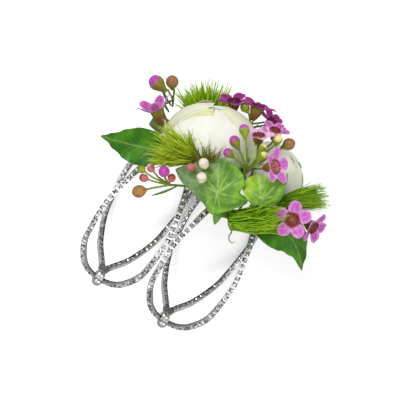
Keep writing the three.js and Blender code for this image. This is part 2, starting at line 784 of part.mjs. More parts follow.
// Lobed ivy leaves, each on a stalk from the pad.
const ivyLeaves = [
  {
    name: 'ivy_leaf_centre',
    placeShares: [0.074, 0.022, 0.925],
    ahead: [-1, -0.06, -0.01],
    facing: [-0.03, 0.31, 0.95],
    spanShare: 1,
    dishShare: 0.16,
    lobeShares: [[0, 1], [23, 0.76], [44, 0.63], [65, 0.72], [89, 0.69], [115, 0.66], [133, 0.61],
      [150, 0.48], [163, 0.67], [195, 0.48], [229, 0.42], [251, 0.46], [290, 0.36], [332, 0.52],
      [350, 0.82]],
    routeShares: [[0.08, 0.8], [0.06, 0.04, 0.28], [0.07, 0, 0.5], [0.08, 0, 0.85]],
  },
  {
    name: 'ivy_leaf_right',
    placeShares: [0.379, 0.21, 0.84],
    ahead: [0.23, 0.93, -0.3],
    facing: [0.03, 0.31, 0.95],
    spanShare: 0.784,
    dishShare: 0.2,
    lobeShares: [[0, 1], [22, 0.66], [44, 0.52], [66, 0.36], [134, 0.2], [210, 0.34], [240, 0.49],
      [263, 0.64], [284, 0.67], [302, 0.67], [330, 0.61], [352, 0.68]],
    routeShares: [[0.46, 0.75], [0.34, 0.04, 0.28], [0.35, 0.02, 0.5], [0.37, 0.14, 0.76]],
  },
  {
    name: 'ivy_leaf_lower',
    placeShares: [0.171, -0.12, 0.69],
    ahead: [0.14, -0.94, 0.28],
    facing: [-0.05, 0.28, 0.95],
    spanShare: 0.515,
    dishShare: 0.15,
    lobeShares: [[0, 1], [25, 0.64], [65, 0.51], [114, 0.39], [185, 0.34], [245, 0.4], [288, 0.48],
      [308, 1], [326, 0.65], [345, 0.6]],
    routeShares: [[0.26, 0.85], [0.17, 0.035, 0.27], [0.17, -0.05, 0.45], [0.17, -0.11, 0.6]],
  },
];

function stalkedIvy(each, grow) {
  const place = spot(each.placeShares);
  const [bedShares, ...waysShares] = each.routeShares;
  const stalk = [bed(bedShares, stemRadius), ...waysShares.map(spot), place];
  return wasm.Manifold.union([
    stem(stalk, stemRadius, 5, 7, grow),
    lobedLeaf({ ...each, place }, grow),
  ]);
}

for (const each of ivyLeaves) {
  const root = bed(each.routeShares[0], stemRadius);
  pieces.push(rooted(each.name, 'ivy', root, (grow) => stalkedIvy(each, grow)));
}

// Pointed salal leaves.
const salalWidthShares = [0.12, 0.62, 0.95, 1, 0.86, 0.58, 0.28, 0.04];
const salalAcrossShares = [-1, -0.5, 0, 0.5, 1];
const salalLeaves = [
  {
    name: 'salal_leaf_left',
    baseShares: [-0.34, 0.03, 0.6],
    bendShares: [-0.62, -0.16, 0.66],
    tipShares: [-0.88, -0.38, 0.35],
    facing: [-0.1, 0.25, 0.95],
    widthShare: 0.94,
    foldShare: 0.3,
    routeShares: [[-0.5, 0.8], [-0.35, 0.035, 0.27], [-0.34, 0, 0.4], [-0.35, 0.03, 0.55]],
  },
  {
    name: 'salal_leaf_right',
    baseShares: [0.36, -0.2, 0.6],
    bendShares: [0.72, 0.17, 0.68],
    tipShares: [0.95, -0.41, 0.4],
    facing: [0.15, 0.2, 0.95],
    widthShare: 1,
    foldShare: 0.25,
    routeShares: [[0.56, 0.85], [0.37, 0.035, 0.27], [0.36, -0.04, 0.4], [0.35, -0.15, 0.53]],
  },
  {
    name: 'salal_leaf_back_left',
    baseShares: [-0.28, 0.05, -0.28],
    bendShares: [-0.34, 0.16, -0.56],
    tipShares: [-0.47, 0, -0.745],
    facing: [-0.1, -0.5, -0.86],
    widthShare: 1,
    foldShare: 0.25,
    routeShares: [[-0.5, -0.85], [-0.3, 0.04, -0.24]],
  },
  {
    name: 'salal_leaf_back_right',
    baseShares: [0.26, 0.05, -0.28],
    bendShares: [0.34, 0.18, -0.56],
    tipShares: [0.45, 0, -0.745],
    facing: [0.1, -0.5, -0.86],
    widthShare: 1,
    foldShare: 0.25,
    routeShares: [[0.44, -0.85], [0.27, 0.04, -0.24]],
  },
];

function salal({ baseShares, bendShares, tipShares, facing, widthShare, foldShare, routeShares }, grow) {
  const base = spot(baseShares);
  const bend = spot(bendShares);
  const [bedShares, ...waysShares] = routeShares;
  const insideShare = 0.15;
  const inside = base.clone().lerp(bend, insideShare);
  const stalk = [bed(bedShares, stemRadius), ...waysShares.map(spot), base, inside];
  const shares = { widthShares: salalWidthShares, acrossShares: salalAcrossShares };
  const width = widthShare * salalWidth;
  const shape = { base, bend, tip: spot(tipShares), facing, width, foldShare, ...shares };
  return wasm.Manifold.union([
    stem(stalk, stemRadius, 5, 7, grow),
    blade(shape, grow),
  ]);
}

for (const each of salalLeaves) {
  const root = bed(each.routeShares[0], stemRadius);
  pieces.push(rooted(each.name, 'leaf', root, (grow) => salal(each, grow)));
}

// Ranunculus blooms: whorls of petals nested with a clearance, round a tight heart.
const whorlStep = petalWall + petalLift + 2 * clearance;
const blooms = [
  {
    name: 'main_bloom',
    placeShares: [-0.17, 0.25, 0.24],
    facing: [-0.2, 0.9, 0.36],
    radius: mainBloomRadius,
    depth: mainBloomDepth,
    whorls: [
      { name: 'outer_petals', petals: 5, open: 0.62, foot: 2.35, phase: 0.4 },
      { name: 'middle_petals', petals: 5, open: 0.44, foot: 2.3, phase: 1.1 },
      { name: 'inner_petals', petals: 4, open: 0.27, foot: 2.3, phase: 2.3 },
    ],
  },
  {
    name: 'second_bloom',
    placeShares: [0.38, 0.28, 0.194],
    facing: [0.4, 0.85, 0.35],
    radius: secondBloomRadius,
    depth: secondBloomDepth,
    whorls: [
      { name: 'outer_petals', petals: 5, open: 0.62, foot: 2.35, phase: 0.2 },
      { name: 'inner_petals', petals: 4, open: 0.36, foot: 2.3, phase: 1.4 },
    ],
  },
];

for (const { name, placeShares, facing, radius, depth, whorls } of blooms) {
  const seat = seatAt(spot(placeShares), facing);
  whorls.forEach((each, order) => {
    const size = { radius: radius - order * whorlStep, depth: depth - order * whorlStep };
    const shape = { ...each, ...size };
    pieces.push(standing(`${name}_${each.name}`, 'cream', seat, (grow) => whorl(shape, grow)));
  });
  const inset = whorls.length * whorlStep;
  const shape = { radius: radius - inset, depth: depth - inset, turns: 4 };
  pieces.push(standing(`${name}_heart`, 'heart', seat, (grow) => heart(shape, grow)));
}

// Calyxes: a short green cone from the pad into the foot of each bloom.
const calyxes = [
  { name: 'main_bloom_calyx', placeShares: [-0.18, 0, 0], sizeShare: 1 },
  { name: 'second_bloom_calyx', placeShares: [0.34, 0, 0], sizeShare: 0.85 },
];

for (const { name, placeShares, sizeShare } of calyxes) {
  const place = spot(placeShares).add(new THREE.Vector3(0, clearance, 0));
  const build = (grow) => {
    const profile = calyxProfileShares.map(([reach, height]) => new THREE.Vector2(
      reach > 0 ? reach * sizeShare * calyxRadius + grow : 0,
      height > 0 ? height * sizeShare * calyxHeight + grow : -grow,
    ));
    return solidOf(new THREE.LatheGeometry(profile, 12));
  };
  pieces.push(standing(name, 'stem', new THREE.Matrix4().setPosition(place), build));
}

// Green tufts: fans of fine strands, each on a stem from the pad.
const tufts = [
  {
    name: 'green_tuft_left',
    bedShares: [-0.36, 0.85],
    stalkShares: [[-0.24, 0.035, 0.25], [-0.21, -0.09, 0.42], [-0.18, -0.08, 0.6]],
    fans: [
      { placeShares: [-0.24, 0.14, 0.735], facing: [-0.93, -0.15, 0.3], rows: 4, lengthShare: 0.82,
        reachShare: 0.6, spread: 0.46 },
      { placeShares: [-0.115, 0.21, 0.76], facing: [-0.5, 0.86, 0.1], rows: 2, lengthShare: 0.37,
        reachShare: 0.33, spread: 0.5 },
    ],
  },
  {
    name: 'green_tuft_front',
    bedShares: [0.44, 0.9],
    stalkShares: [[0.31, 0.04, 0.27], [0.3, -0.1, 0.45], [0.29, -0.14, 0.66]],
    fans: [
      { placeShares: [0.31, -0.16, 0.82], facing: [0.88, 0.47, 0.06], rows: 4, lengthShare: 0.95,
        reachShare: 2.4, spread: 0.15 },
    ],
  },
  {
    name: 'green_tuft_right',
    bedShares: [0.88, 0.85],
    stalkShares: [[0.58, 0.035, 0.27], [0.57, -0.02, 0.38], [0.53, 0.04, 0.46]],
    fans: [
      { placeShares: [0.53, 0.17, 0.52], facing: [0.68, 0.73, -0.05], rows: 3, lengthShare: 1,
        reachShare: 1.15, spread: 0.16 },
    ],
  },
  {
    name: 'green_tuft_top',
    bedShares: [-0.3, -0.7],
    stalkShares: [[-0.24, 0.05, -0.24], [-0.24, 0.14, -0.27]],
    fans: [
      { placeShares: [-0.281, 0.26, -0.26], facing: [-0.55, 0.74, -0.38], rows: 3, lengthShare: 0.67,
        reachShare: 0.5, spread: 0.6 },
    ],
  },
];

function stalkedTuft({ bedShares, stalkShares, fans }, grow) {
  const stalk = [bed(bedShares, stemRadius), ...stalkShares.map(spot)];
  const fork = stalk.at(-1);
  const parts = [stem(stalk, stemRadius, 5, 4, grow)];
  for (const each of fans) {
    const place = spot(each.placeShares);
    const ahead = vector(each.facing).normalize();
    const inside = place.clone().addScaledVector(ahead, -headDepth / 2);
    const start = fork.clone().lerp(stalk.at(-2), stemRadius / fork.distanceTo(stalk.at(-2)));
    parts.push(stem([start, inside], stemRadius, 5, 1, grow));
    parts.push(move(fan(each, grow), seatAt(place, each.facing)));
  }
  return wasm.Manifold.union(parts);
}

for (const each of tufts) {
  const root = bed(each.bedShares, stemRadius);
  pieces.push(rooted(each.name, 'tuft', root, (grow) => stalkedTuft(each, grow)));
}

// Putting the part together

const corsage = new THREE.Group();

function addMesh(name, finish, seat, solid) {
  const { vertProperties, triVerts } = move(solid, seat.clone().invert()).getMesh();
  const geometry = new THREE.BufferGeometry();
  geometry.setAttribute('position', new THREE.BufferAttribute(vertProperties, 3));
  geometry.setIndex(new THREE.BufferAttribute(triVerts, 1));
  geometry.computeVertexNormals();
  const mesh = new THREE.Mesh(geometry, new THREE.MeshStandardMaterial(finishes[finish]));
  mesh.name = name;
  mesh.applyMatrix4(seat);
  corsage.add(mesh);
}

const atOrigin = new THREE.Matrix4();
const cuffRooms = [];

// The front half's turn about the crown bar's front edge, as the cuff is sprung open.
function sprungOpen(angle) {
  const pivotHeight = cuffPoint(Math.PI)[0];
  const pivot = new THREE.Vector3(0, pivotHeight, (barWidth + flexGap) / 2);
  const turn = new THREE.Matrix4().makeRotationX(-angle);
  const back = new THREE.Matrix4().makeTranslation(pivot.clone().negate());
  return new THREE.Matrix4().makeTranslation(pivot).multiply(turn).multiply(back);
}

for (const [half, halfName] of [[1, 'front'], [-1, 'back']]) {
  for (const [side, sideName] of [[-1, 'left'], [1, 'right']]) {
    for (const [edge, edgeName] of [[-1, 'left'], [1, 'right']]) {
      const name = `${halfName}_strand_${sideName}_loop_${edgeName}`;
      addMesh(name, 'silver', atOrigin, strand(side, edge, half, 0));
      const room = strandRoom(side, edge, half);
      cuffRooms.push(room);
      for (let step = 1; half > 0 && step <= flexSteps; step += 1) {
        cuffRooms.push(move(room, sprungOpen(flexRange * step / flexSteps)));
      }
    }
    addMesh(`${halfName}_tip_${sideName}`, 'silver', atOrigin, tipPlate(side, half));
    const ballSeat = new THREE.Matrix4().setPosition(ballPlace(side, half));
    addMesh(`${halfName}_ball_${sideName}`, 'silver', ballSeat, move(ball(0), ballSeat));
  }
}

const barTop = barHeight + barDepth / 2;
addMesh('crown_bar', 'silver', atOrigin, roundedPlate(barLength, barWidth, barDepth, barTop, 0));
addMesh('glue_pad', 'glue', atOrigin, roundedPlate(padLength, padWidth, padDepth, deckHeight, 0));
cuffRooms.push(roundedPlate(padLength, padWidth, padDepth, deckHeight, clearance * padRoomShare));

function boxesMeet(a, b) {
  return [0, 1, 2].every((i) => a.min[i] <= b.max[i] && b.min[i] <= a.max[i]);
}

// Each piece gives way to the cuff and to the pieces before it, and keeps its largest body.
const taken = cuffRooms.map((room) => ({ room, box: room.boundingBox() }));
for (const { name, finish, seat, make } of pieces) {
  let body = make(0);
  const box = body.boundingBox();
  for (const other of taken) {
    if (boxesMeet(box, other.box)) {
      body = body.subtract(other.room);
    }
  }
  addMesh(name, finish, seat, largestOf(body).simplify(facetTolerance));
  const room = make(clearance);
  taken.push({ room, box: room.boundingBox() });
}

// The origin is under the middle of the part, on the surface it stands on.
const bounds = new THREE.Box3().setFromObject(corsage, true);
const centre = bounds.getCenter(new THREE.Vector3());
corsage.position.set(-centre.x, -centre.y, -bounds.min.z);

export default corsage;
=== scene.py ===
"""Looks of a wrist corsage: a rhinestone spring cuff that carries a glued spray of flowers.

Everything is in metres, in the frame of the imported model. The spray's places are shares of its half length,
its rise above the glue pad and its half spread, measured from the middle of the cuff's wrist space.
"""

import logging
from dataclasses import dataclass, field
from enum import Enum

import bmesh
import bpy
import numpy as np
from mathutils import Matrix, Vector


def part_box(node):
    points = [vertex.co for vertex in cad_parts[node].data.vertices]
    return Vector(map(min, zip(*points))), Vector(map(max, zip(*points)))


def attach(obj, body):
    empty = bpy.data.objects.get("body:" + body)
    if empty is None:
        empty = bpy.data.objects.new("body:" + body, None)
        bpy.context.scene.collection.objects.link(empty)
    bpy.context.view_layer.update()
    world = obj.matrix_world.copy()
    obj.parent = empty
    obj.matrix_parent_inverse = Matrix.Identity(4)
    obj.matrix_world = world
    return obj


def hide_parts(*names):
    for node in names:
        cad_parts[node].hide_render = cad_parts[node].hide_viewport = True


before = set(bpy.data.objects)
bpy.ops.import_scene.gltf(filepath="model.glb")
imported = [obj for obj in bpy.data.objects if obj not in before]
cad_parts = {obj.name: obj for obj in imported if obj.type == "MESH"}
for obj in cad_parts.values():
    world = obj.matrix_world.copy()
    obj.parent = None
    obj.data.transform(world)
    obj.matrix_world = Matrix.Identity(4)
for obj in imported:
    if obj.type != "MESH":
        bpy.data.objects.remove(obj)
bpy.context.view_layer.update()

Array = np.ndarray
Shares = tuple[float, ...]

LOG = logging.getLogger("corsage")

# Metres, apart from a power, the golden angle in degrees and the band of noise values that is read
JOIN_DISTANCE = 2e-6
SHELL_EDGE_POWER = 0.35
STEM_RADIUS = 0.00042
TWIG_RADIUS = 0.00036
GOLDEN_ANGLE = 137.5
NOISE_BAND = (0.3, 0.7)


class Body(Enum):
    """The two rigid bodies that pieces ride on."""

    SPRAY = "back_half_and_spray"
    FRONT = "front_half"


class Tint(Enum):
    """Plant colours, as shown on screen."""

    PETAL_PINK = (0.80, 0.34, 0.76)
    PETAL_PALE = (0.93, 0.72, 0.90)
    PETAL_MAGENTA = (0.56, 0.06, 0.42)
    PETAL_DEEP = (0.36, 0.03, 0.27)
    DISC_RED = (0.55, 0.20, 0.20)
    DISC_BROWN = (0.62, 0.36, 0.26)
    BUD_GREEN = (0.55, 0.66, 0.12)
    BUD_OLIVE = (0.52, 0.50, 0.14)
    BUD_RED = (0.62, 0.27, 0.24)
    BUD_ORANGE = (0.68, 0.49, 0.28)
    BUD_BROWN = (0.62, 0.42, 0.28)
    BUD_PURPLE = (0.74, 0.27, 0.68)
    BUD_ROSE = (0.80, 0.44, 0.46)
    BUD_LIME = (0.76, 0.84, 0.26)
    BUD_WHITE = (0.90, 0.90, 0.74)
    BUD_BLUSH = (0.95, 0.88, 0.83)
    BUD_LEMON = (0.94, 0.91, 0.56)
    STEM_GREEN = (0.44, 0.52, 0.14)
    STEM_RED = (0.52, 0.36, 0.20)
    NEEDLE_GREEN = (0.26, 0.44, 0.16)
    SALAL_DARK = (0.18, 0.40, 0.04)
    SALAL_LIGHT = (0.31, 0.57, 0.07)
    IVY_DARK = (0.27, 0.46, 0.11)
    IVY_LIGHT = (0.47, 0.68, 0.16)
    IVY_LIME = (0.66, 0.82, 0.20)
    # Grey-green on the centre ivy leaf's left lobe: partly the lobe's own tone, partly painted sheen.
    IVY_SHEEN_GREY = (0.38, 0.48, 0.30)
    VEIN_PALE = (0.70, 0.82, 0.48)
    CREAM = (0.95, 0.95, 0.92)
    # A greenish grey: painted shade on the cream petals, and their greener tone where they show inside the
    # bloom.
    CREAM_SHADE = (0.86, 0.88, 0.65)
    HEART_GREEN = (0.84, 0.87, 0.50)
    TUFT_LIME = (0.66, 0.84, 0.14)
    TUFT_DEEP = (0.34, 0.56, 0.06)
    TUFT_OLIVE = (0.82, 0.92, 0.24)
    TUFT_OLIVE_DEEP = (0.46, 0.56, 0.07)
    TUFT_PALE = (0.66, 0.84, 0.20)

    @property
    def linear(self) -> Array:
        """The colour as linear light."""
        return np.array(self.value) ** 2.2


def mix(low: Array, high: Array, share: Array | float) -> Array:
    """Blends two colours, the second by a share of any shape that is clipped to 0 and 1."""
    part = np.clip(share, 0, 1)[..., None]
    return low * (1 - part) + high * part


def unit(vectors: Array) -> Array:
    """Vectors of any shape divided by their lengths."""
    return vectors / np.maximum(np.linalg.norm(vectors, axis=-1, keepdims=True), 1e-12)


def closer_at_end(count: int) -> Array:
    """A column of shares from 0 to 1 that lie closer together towards 1, as a quarter sine."""
    return np.sin(np.linspace(0, np.pi / 2, count))[:, None]


def closer_at_ends(count: int) -> Array:
    """Shares from -1 to 1 that lie closer together towards both ends, as a half sine."""
    return np.sin(np.linspace(-np.pi / 2, np.pi / 2, count))


def wrapped(degrees: Array) -> Array:
    """Angles brought between -180 and 180 degrees."""
    return (degrees + 180) % 360 - 180


def around(sides: int) -> Array:
    """Angles of evenly spaced points round a full turn."""
    return np.linspace(0, 2 * np.pi, sides, endpoint=False)


def half_circle(count: int) -> Array:
    """The profile of a ball of radius 1, from its foot to its top, (count, 2)."""
    angle = np.linspace(0, np.pi, count)
    return np.stack([np.sin(angle), -np.cos(angle)], axis=-1)


def ribbed(grid: Array, ribs: Array) -> Array:
    """A turned grid whose reach from +Y is multiplied by a factor for each of its sides."""
    return grid * np.stack([ribs, np.ones(len(ribs)), ribs], axis=-1)


def seat(place: Array, facing: Shares) -> Array:
    """The 4 by 4 matrix that turns +Y to a facing by the shortest turn and the origin to a place."""
    turn = Vector((0, 1, 0)).rotation_difference(Vector(facing).normalized())
    return np.array(Matrix.Translation(Vector(place)) @ turn.to_matrix().to_4x4())


def moved(points: Array, matrix: Array) -> Array:
    """Points of any shape carried by a 4 by 4 matrix."""
    return points @ matrix[:3, :3].T + matrix[:3, 3]


def curve_through(places: Array, steps: int) -> Array:
    """A smooth line through places: between two places a cubic whose slope at each is half the step
    from the place before to the place after.

    Args:
        places: Places in order, (n, 3).
        steps: How many points the line has.

    Returns:
        Points on the line, (steps, 3).
    """
    ends = (2 * places[:1] - places[1:2], 2 * places[-1:] - places[-2:-1])
    padded = np.concatenate([ends[0], places, ends[1]])
    run = np.linspace(0, len(places) - 1, steps)
    k = np.minimum(run.astype(int), len(places) - 2)
    x = (run - k)[:, None]
    a, b, c, d = padded[k], padded[k + 1], padded[k + 2], padded[k + 3]
    return 0.5 * (2 * b + (c - a) * x + (2 * a - 5 * b + 4 * c - d) * x**2 + (3 * b - a - 3 * c + d) * x**3)


def smooth_table(table: tuple[Shares, ...], at: Array) -> Array:
    """Values of a curve through a table's rows that never swings past them: cubics whose slope at a row
    is the harmonic mean of the slopes beside it, or nothing where these differ in sign.

    Args:
        table: Rows of place and value, in rising order.
        at: Places to read.

    Returns:
        Values, shaped as the places.
    """
    x, y = np.array(table).T
    slope = np.diff(y) / np.diff(x)
    product = slope[:-1] * slope[1:]
    total = slope[:-1] + slope[1:]
    inner = np.where(product > 0, 2 * product / np.where(total == 0, 1, total), 0)
    knee = np.concatenate([slope[:1], inner, slope[-1:]])
    k = np.clip(np.searchsorted(x, at) - 1, 0, len(x) - 2)
    step = x[k + 1] - x[k]
    u = (at - x[k]) / step
    rise = u * u * (3 - 2 * u)
    swing = step * u * (1 - u) * ((1 - u) * knee[k] - u * knee[k + 1])
    return y[k] + (y[k + 1] - y[k]) * rise + swing


def tube(line: Array, radii: Array, sides: int) -> Array:
    """Round rings about a line, square to it, closed at both ends by rings of no radius.

    Args:
        line: Points of one or more lines, (..., n, 3).
        radii: Radius at each point, (..., n) or fewer axes.
        sides: Points in a ring.

    Returns:
        A grid, (..., n + 2, sides, 3).
    """
    ahead = unit(np.gradient(line, axis=-2))
    run = line[..., -1, :] - line[..., 0, :]
    aside = np.eye(3)[np.argmin(np.abs(run), axis=-1)][..., None, :]
    across = unit(np.cross(ahead, aside))
    upward = np.cross(across, ahead)
    turns = around(sides)[:, None]
    ring = np.cos(turns) * across[..., None, :] + np.sin(turns) * upward[..., None, :]
    wide = np.broadcast_to(radii, line.shape[:-1])[..., None, None]
    body = line[..., None, :] + wide * ring
    first = np.broadcast_to(line[..., :1, None, :], body[..., :1, :, :].shape)
    last = np.broadcast_to(line[..., -1:, None, :], body[..., :1, :, :].shape)
    return np.concatenate([first, body, last], axis=-3)


def ended(values: Array, axis: int) -> Array:
    """Values along an axis with the first and the last repeated, to match a tube's closed ends.

    Args:
        values: The values.
        axis: The axis that runs along the tube.

    Returns:
        The values, longer by two along the axis.
    """
    first = np.take(values, [0], axis=axis)
    last = np.take(values, [-1], axis=axis)
    return np.concatenate([first, values, last], axis=axis)


def shell(surface: Array, thickness: Array | float) -> Array:
    """A closed thin body: the surface moved half its thickness out along its normals, then back in.

    Args:
        surface: One or more grids, (..., nu, nv, 3).
        thickness: Full thickness, (nu, nv) or one value; it fades to nothing at all four edges.

    Returns:
        Grids, (..., nu, 2 nv, 3), that wrap round their second axis.
    """
    nu, nv = surface.shape[-3:-1]
    edge_u, edge_v = (np.sin(np.pi * np.linspace(0, 1, count)) ** SHELL_EDGE_POWER for count in (nu, nv))
    normal = unit(np.cross(np.gradient(surface, axis=-3), np.gradient(surface, axis=-2)))
    offset = normal * (thickness * edge_u[:, None] * edge_v)[..., None] / 2
    return np.concatenate([surface + offset, (surface - offset)[..., ::-1, :]], axis=-2)


def both_sides(values: Array) -> Array:
    """Values of a surface's points, (..., nu, nv, c), repeated for the two sides of its shell."""
    return np.concatenate([values, values[..., ::-1, :]], axis=-2)


def revolved(profile: Array, sides: int) -> Array:
    """A profile turned about +Y.

    Args:
        profile: Radius and height at each point, (n, 2).
        sides: Points in a ring.

    Returns:
        A grid, (n, sides, 3).
    """
    turns = around(sides)
    reach, height = profile[:, :1], profile[:, 1:]
    level = np.broadcast_to(height, (len(profile), sides))
    return np.stack([reach * np.cos(turns), level, -reach * np.sin(turns)], axis=-1)


@dataclass
class Patchwork:
    """Grids of points, closed round their second axis, gathered into one mesh with a tint at each point."""

    points: list[Array] = field(default_factory=list)
    tints: list[Array] = field(default_factory=list)
    faces: list[Array] = field(default_factory=list)
    count: int = 0

    def add(self, grid: Array, tint: Array, wrap_u: bool = False) -> None:
        """Adds one or more grids of points.

        Args:
            grid: Points, (..., nu, nv, 3).
            tint: Linear colours that broadcast to the grid's shape.
            wrap_u: Whether the last row joins the first, as the last column always does.
        """
        colour = np.broadcast_to(tint, grid.shape).reshape(-1, 3)
        nu, nv = grid.shape[-3:-1]
        copies = grid.size // (nu * nv * 3)
        u, v = np.meshgrid(np.arange(nu if wrap_u else nu - 1), np.arange(nv), indexing="ij")
        u_next, v_next = (u + 1) % nu, (v + 1) % nv
        quads = np.stack([u * nv + v, u_next * nv + v, u_next * nv + v_next, u * nv + v_next], axis=-1)
        starts = self.count + nu * nv * np.arange(copies)
        self.points.append(grid.reshape(-1, 3))
        self.tints.append(colour)
        self.faces.append((quads.reshape(1, -1, 4) + starts[:, None, None]).reshape(-1, 4))
        self.count += len(colour)

    def stem(self, way: Array, radius: Array | float, steps: int = 30, sides: int = 8) -> None:
        """Adds a green stem through places, of one radius or of one for each ring."""
        self.add(tube(curve_through(way, steps), radius, sides), Tint.STEM_GREEN.linear)

    def build(self, name: str, material: bpy.types.Material, smooth: bool = True) -> bpy.types.Object:
        """Makes the object: coincident points are joined and normals point outwards.

        Args:
            name: The object's name.
            material: Its material.
            smooth: Whether faces are shaded smooth.

        Returns:
            The object, at the origin.
        """
        mesh = bpy.data.meshes.new(name)
        points, faces = np.concatenate(self.points), np.concatenate(self.faces)
        mesh.vertices.add(len(points))
        mesh.vertices.foreach_set("co", points.ravel())
        mesh.loops.add(faces.size)
        mesh.loops.foreach_set("vertex_index", faces.ravel())
        mesh.polygons.add(len(faces))
        mesh.polygons.foreach_set("loop_start", np.arange(0, faces.size, 4))
        mesh.update()
        colours = np.concatenate([np.concatenate(self.tints), np.ones((len(points), 1))], axis=1)
        mesh.color_attributes.new("Tint", "FLOAT_COLOR", "POINT").data.foreach_set("color", colours.ravel())
        work = bmesh.new()
        work.from_mesh(mesh)
        bmesh.ops.remove_doubles(work, verts=work.verts, dist=JOIN_DISTANCE)
        bmesh.ops.recalc_face_normals(work, faces=work.faces)
        work.to_mesh(mesh)
        work.free()
        mesh.polygons.foreach_set("use_smooth", np.full(len(mesh.polygons), smooth))
        mesh.materials.append(material)
        piece = bpy.data.objects.new(name, mesh)
        bpy.context.scene.collection.objects.link(piece)
        return piece


def settle(piece: bpy.types.Object, body: Body, slot: str, *nodes: str) -> None:
    """Lets a piece ride on a body, stand for CAD nodes and report itself.

    Args:
        piece: The finished piece.
        body: The body that it rides on.
        slot: The record's material slot; not used.
        nodes: The CAD nodes that it stands for.
    """
    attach(piece, body.value)
    if nodes:
        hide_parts(*nodes)
    LOG.info("%s: %d faces, stands for %s", piece.name, len(piece.data.polygons), nodes or "no node")


@dataclass(frozen=True)
class Spray:
    """The spray's measures, and where its shares lie in the frame."""

    half_length: float = 0.048
    rise: float = 0.032
    half_spread: float = 0.040
    bar_height: float = 0.0303
    deck_height: float = 0.032225
    pad_half_length: float = 0.030
    pad_half_width: float = 0.009
    pad_gap: float = 0.0003

    @property
    def ring(self) -> Array:
        """The middle of the cuff's wrist space, below the crown bar."""
        low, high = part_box("crown_bar")
        return np.array((low + high) / 2) - np.array([0, self.bar_height, 0])

    def spot(self, shares: tuple) -> Array:
        """Places from shares of the spray's sizes."""
        sizes = np.array([self.half_length, self.rise, self.half_spread])
        return self.ring + np.array([0, self.deck_height, 0]) + np.array(shares)[..., :3] * sizes

    def bed(self, shares: Shares, radius: float) -> Array:
        """The place where a stem lies on the glue pad.

        Args:
            shares: Shares of the pad's half length and half width.
            radius: The stem's radius.

        Returns:
            The place of its middle line.
        """
        height = self.deck_height + self.pad_gap + radius
        along, across = shares[0] * self.pad_half_length, shares[1] * self.pad_half_width
        return self.ring + np.array([along, height, across])

    def stalk(self, bed_shares: Shares, way_shares: tuple, radius: float) -> Array:
        """A stem's places: its bed on the pad, then its way through the spray."""
        return np.concatenate([self.bed(bed_shares, radius)[None], self.spot(way_shares)])


SPRAY = Spray()


class NodeTree:
    """The nodes of a material or a world, with short calls to add and link them."""

    def __init__(self, owner: bpy.types.Material | bpy.types.World) -> None:
        """Starts with the nodes that the owner comes with."""
        owner.use_nodes = True
        self.tree = owner.node_tree

    @property
    def shader(self) -> bpy.types.Node:
        """A material's own shader."""
        return self.tree.nodes["Principled BSDF"]

    def add(self, kind: str, **settings: object) -> bpy.types.Node:
        """Adds a node.

        Args:
            kind: The node's type.
            settings: Values by name of an input or, where there is no such input, of a property.

        Returns:
            The node.
        """
        node = self.tree.nodes.new(kind)
        for key, value in settings.items():
            label = key.replace("_", " ").title()
            if label in node.inputs:
                node.inputs[label].default_value = value
            else:
                setattr(node, key, value)
        return node

    def link(self, source: bpy.types.NodeSocket, target: bpy.types.NodeSocket) -> None:
        """Joins an output to an input."""
        self.tree.links.new(source, target)

    def tint(self) -> bpy.types.NodeSocket:
        """The mesh's own tint."""
        return self.add("ShaderNodeAttribute", attribute_name="Tint").outputs["Color"]

    def flat(self, colour: Shares) -> bpy.types.NodeSocket:
        """A plain linear colour.

        Args:
            colour: Red, green and blue.

        Returns:
            The colour's output.
        """
        node = self.add("ShaderNodeRGB")
        node.outputs[0].default_value = (*colour, 1)
        return node.outputs[0]

    def noise(self, grain: float) -> bpy.types.NodeSocket:
        """Noise on Object coordinates.

        Args:
            grain: About the width of its features.

        Returns:
            The noise's output.
        """
        node = self.add("ShaderNodeTexNoise", scale=1 / grain, detail=3.0)
        self.link(self.add("ShaderNodeTexCoord").outputs["Object"], node.inputs["Vector"])
        return node.outputs["Fac"]

    def ranged(
        self, value: bpy.types.NodeSocket, to: Shares, across: Shares = NOISE_BAND
    ) -> bpy.types.NodeSocket:
        """Stretches a value's run to another run.

        Args:
            value: The value.
            to: The run that it becomes.
            across: The run that is read; for noise it is the middle of its run.

        Returns:
            The stretched value.
        """
        node = self.add("ShaderNodeMapRange")
        for label, number in zip(("From Min", "From Max", "To Min", "To Max"), (*across, *to), strict=True):
            node.inputs[label].default_value = number
        self.link(value, node.inputs["Value"])
        return node.outputs["Result"]

    def by_camera(self, others: float, camera: float) -> bpy.types.NodeSocket:
        """A value that differs between the camera and all other looks."""
        path = self.add("ShaderNodeLightPath")
        return self.ranged(path.outputs["Is Camera Ray"], (others, camera), (0, 1))

    def in_mirrors(self, plain: bpy.types.NodeSocket) -> bpy.types.Node:
        """A choice between a plain value and another one in mirrored images.

        Args:
            plain: The plain value.

        Returns:
            The choice, whose input B is the value in mirrored images.
        """
        choice = self.add("ShaderNodeMix")
        self.link(self.add("ShaderNodeLightPath").outputs["Is Glossy Ray"], choice.inputs["Factor"])
        self.link(plain, choice.inputs["A"])
        return choice

    def shaded(self, colour: bpy.types.NodeSocket, value: bpy.types.NodeSocket) -> None:
        """Gives the shader a colour multiplied by a value.

        Args:
            colour: The colour.
            value: The value.
        """
        node = self.add("ShaderNodeMix", data_type="RGBA", blend_type="MULTIPLY")
        node.inputs["Factor"].default_value = 1
        self.link(colour, node.inputs["A"])
        self.link(value, node.inputs["B"])
        self.link(node.outputs["Result"], self.shader.inputs["Base Color"])

    def relief(self, value: bpy.types.NodeSocket, height: float) -> None:
        """Raises the surface.

        Args:
            value: Where it is raised.
            height: By how much at most.
        """
        node = self.add("ShaderNodeBump", strength=1.0, distance=height)
        self.link(value, node.inputs["Height"])
        self.link(node.outputs["Normal"], self.shader.inputs["Normal"])

    def set(self, **values: object) -> None:
        """Sets the shader's own sockets by name."""
        for key, value in values.items():
            self.shader.inputs[key.replace("_", " ")].default_value = value


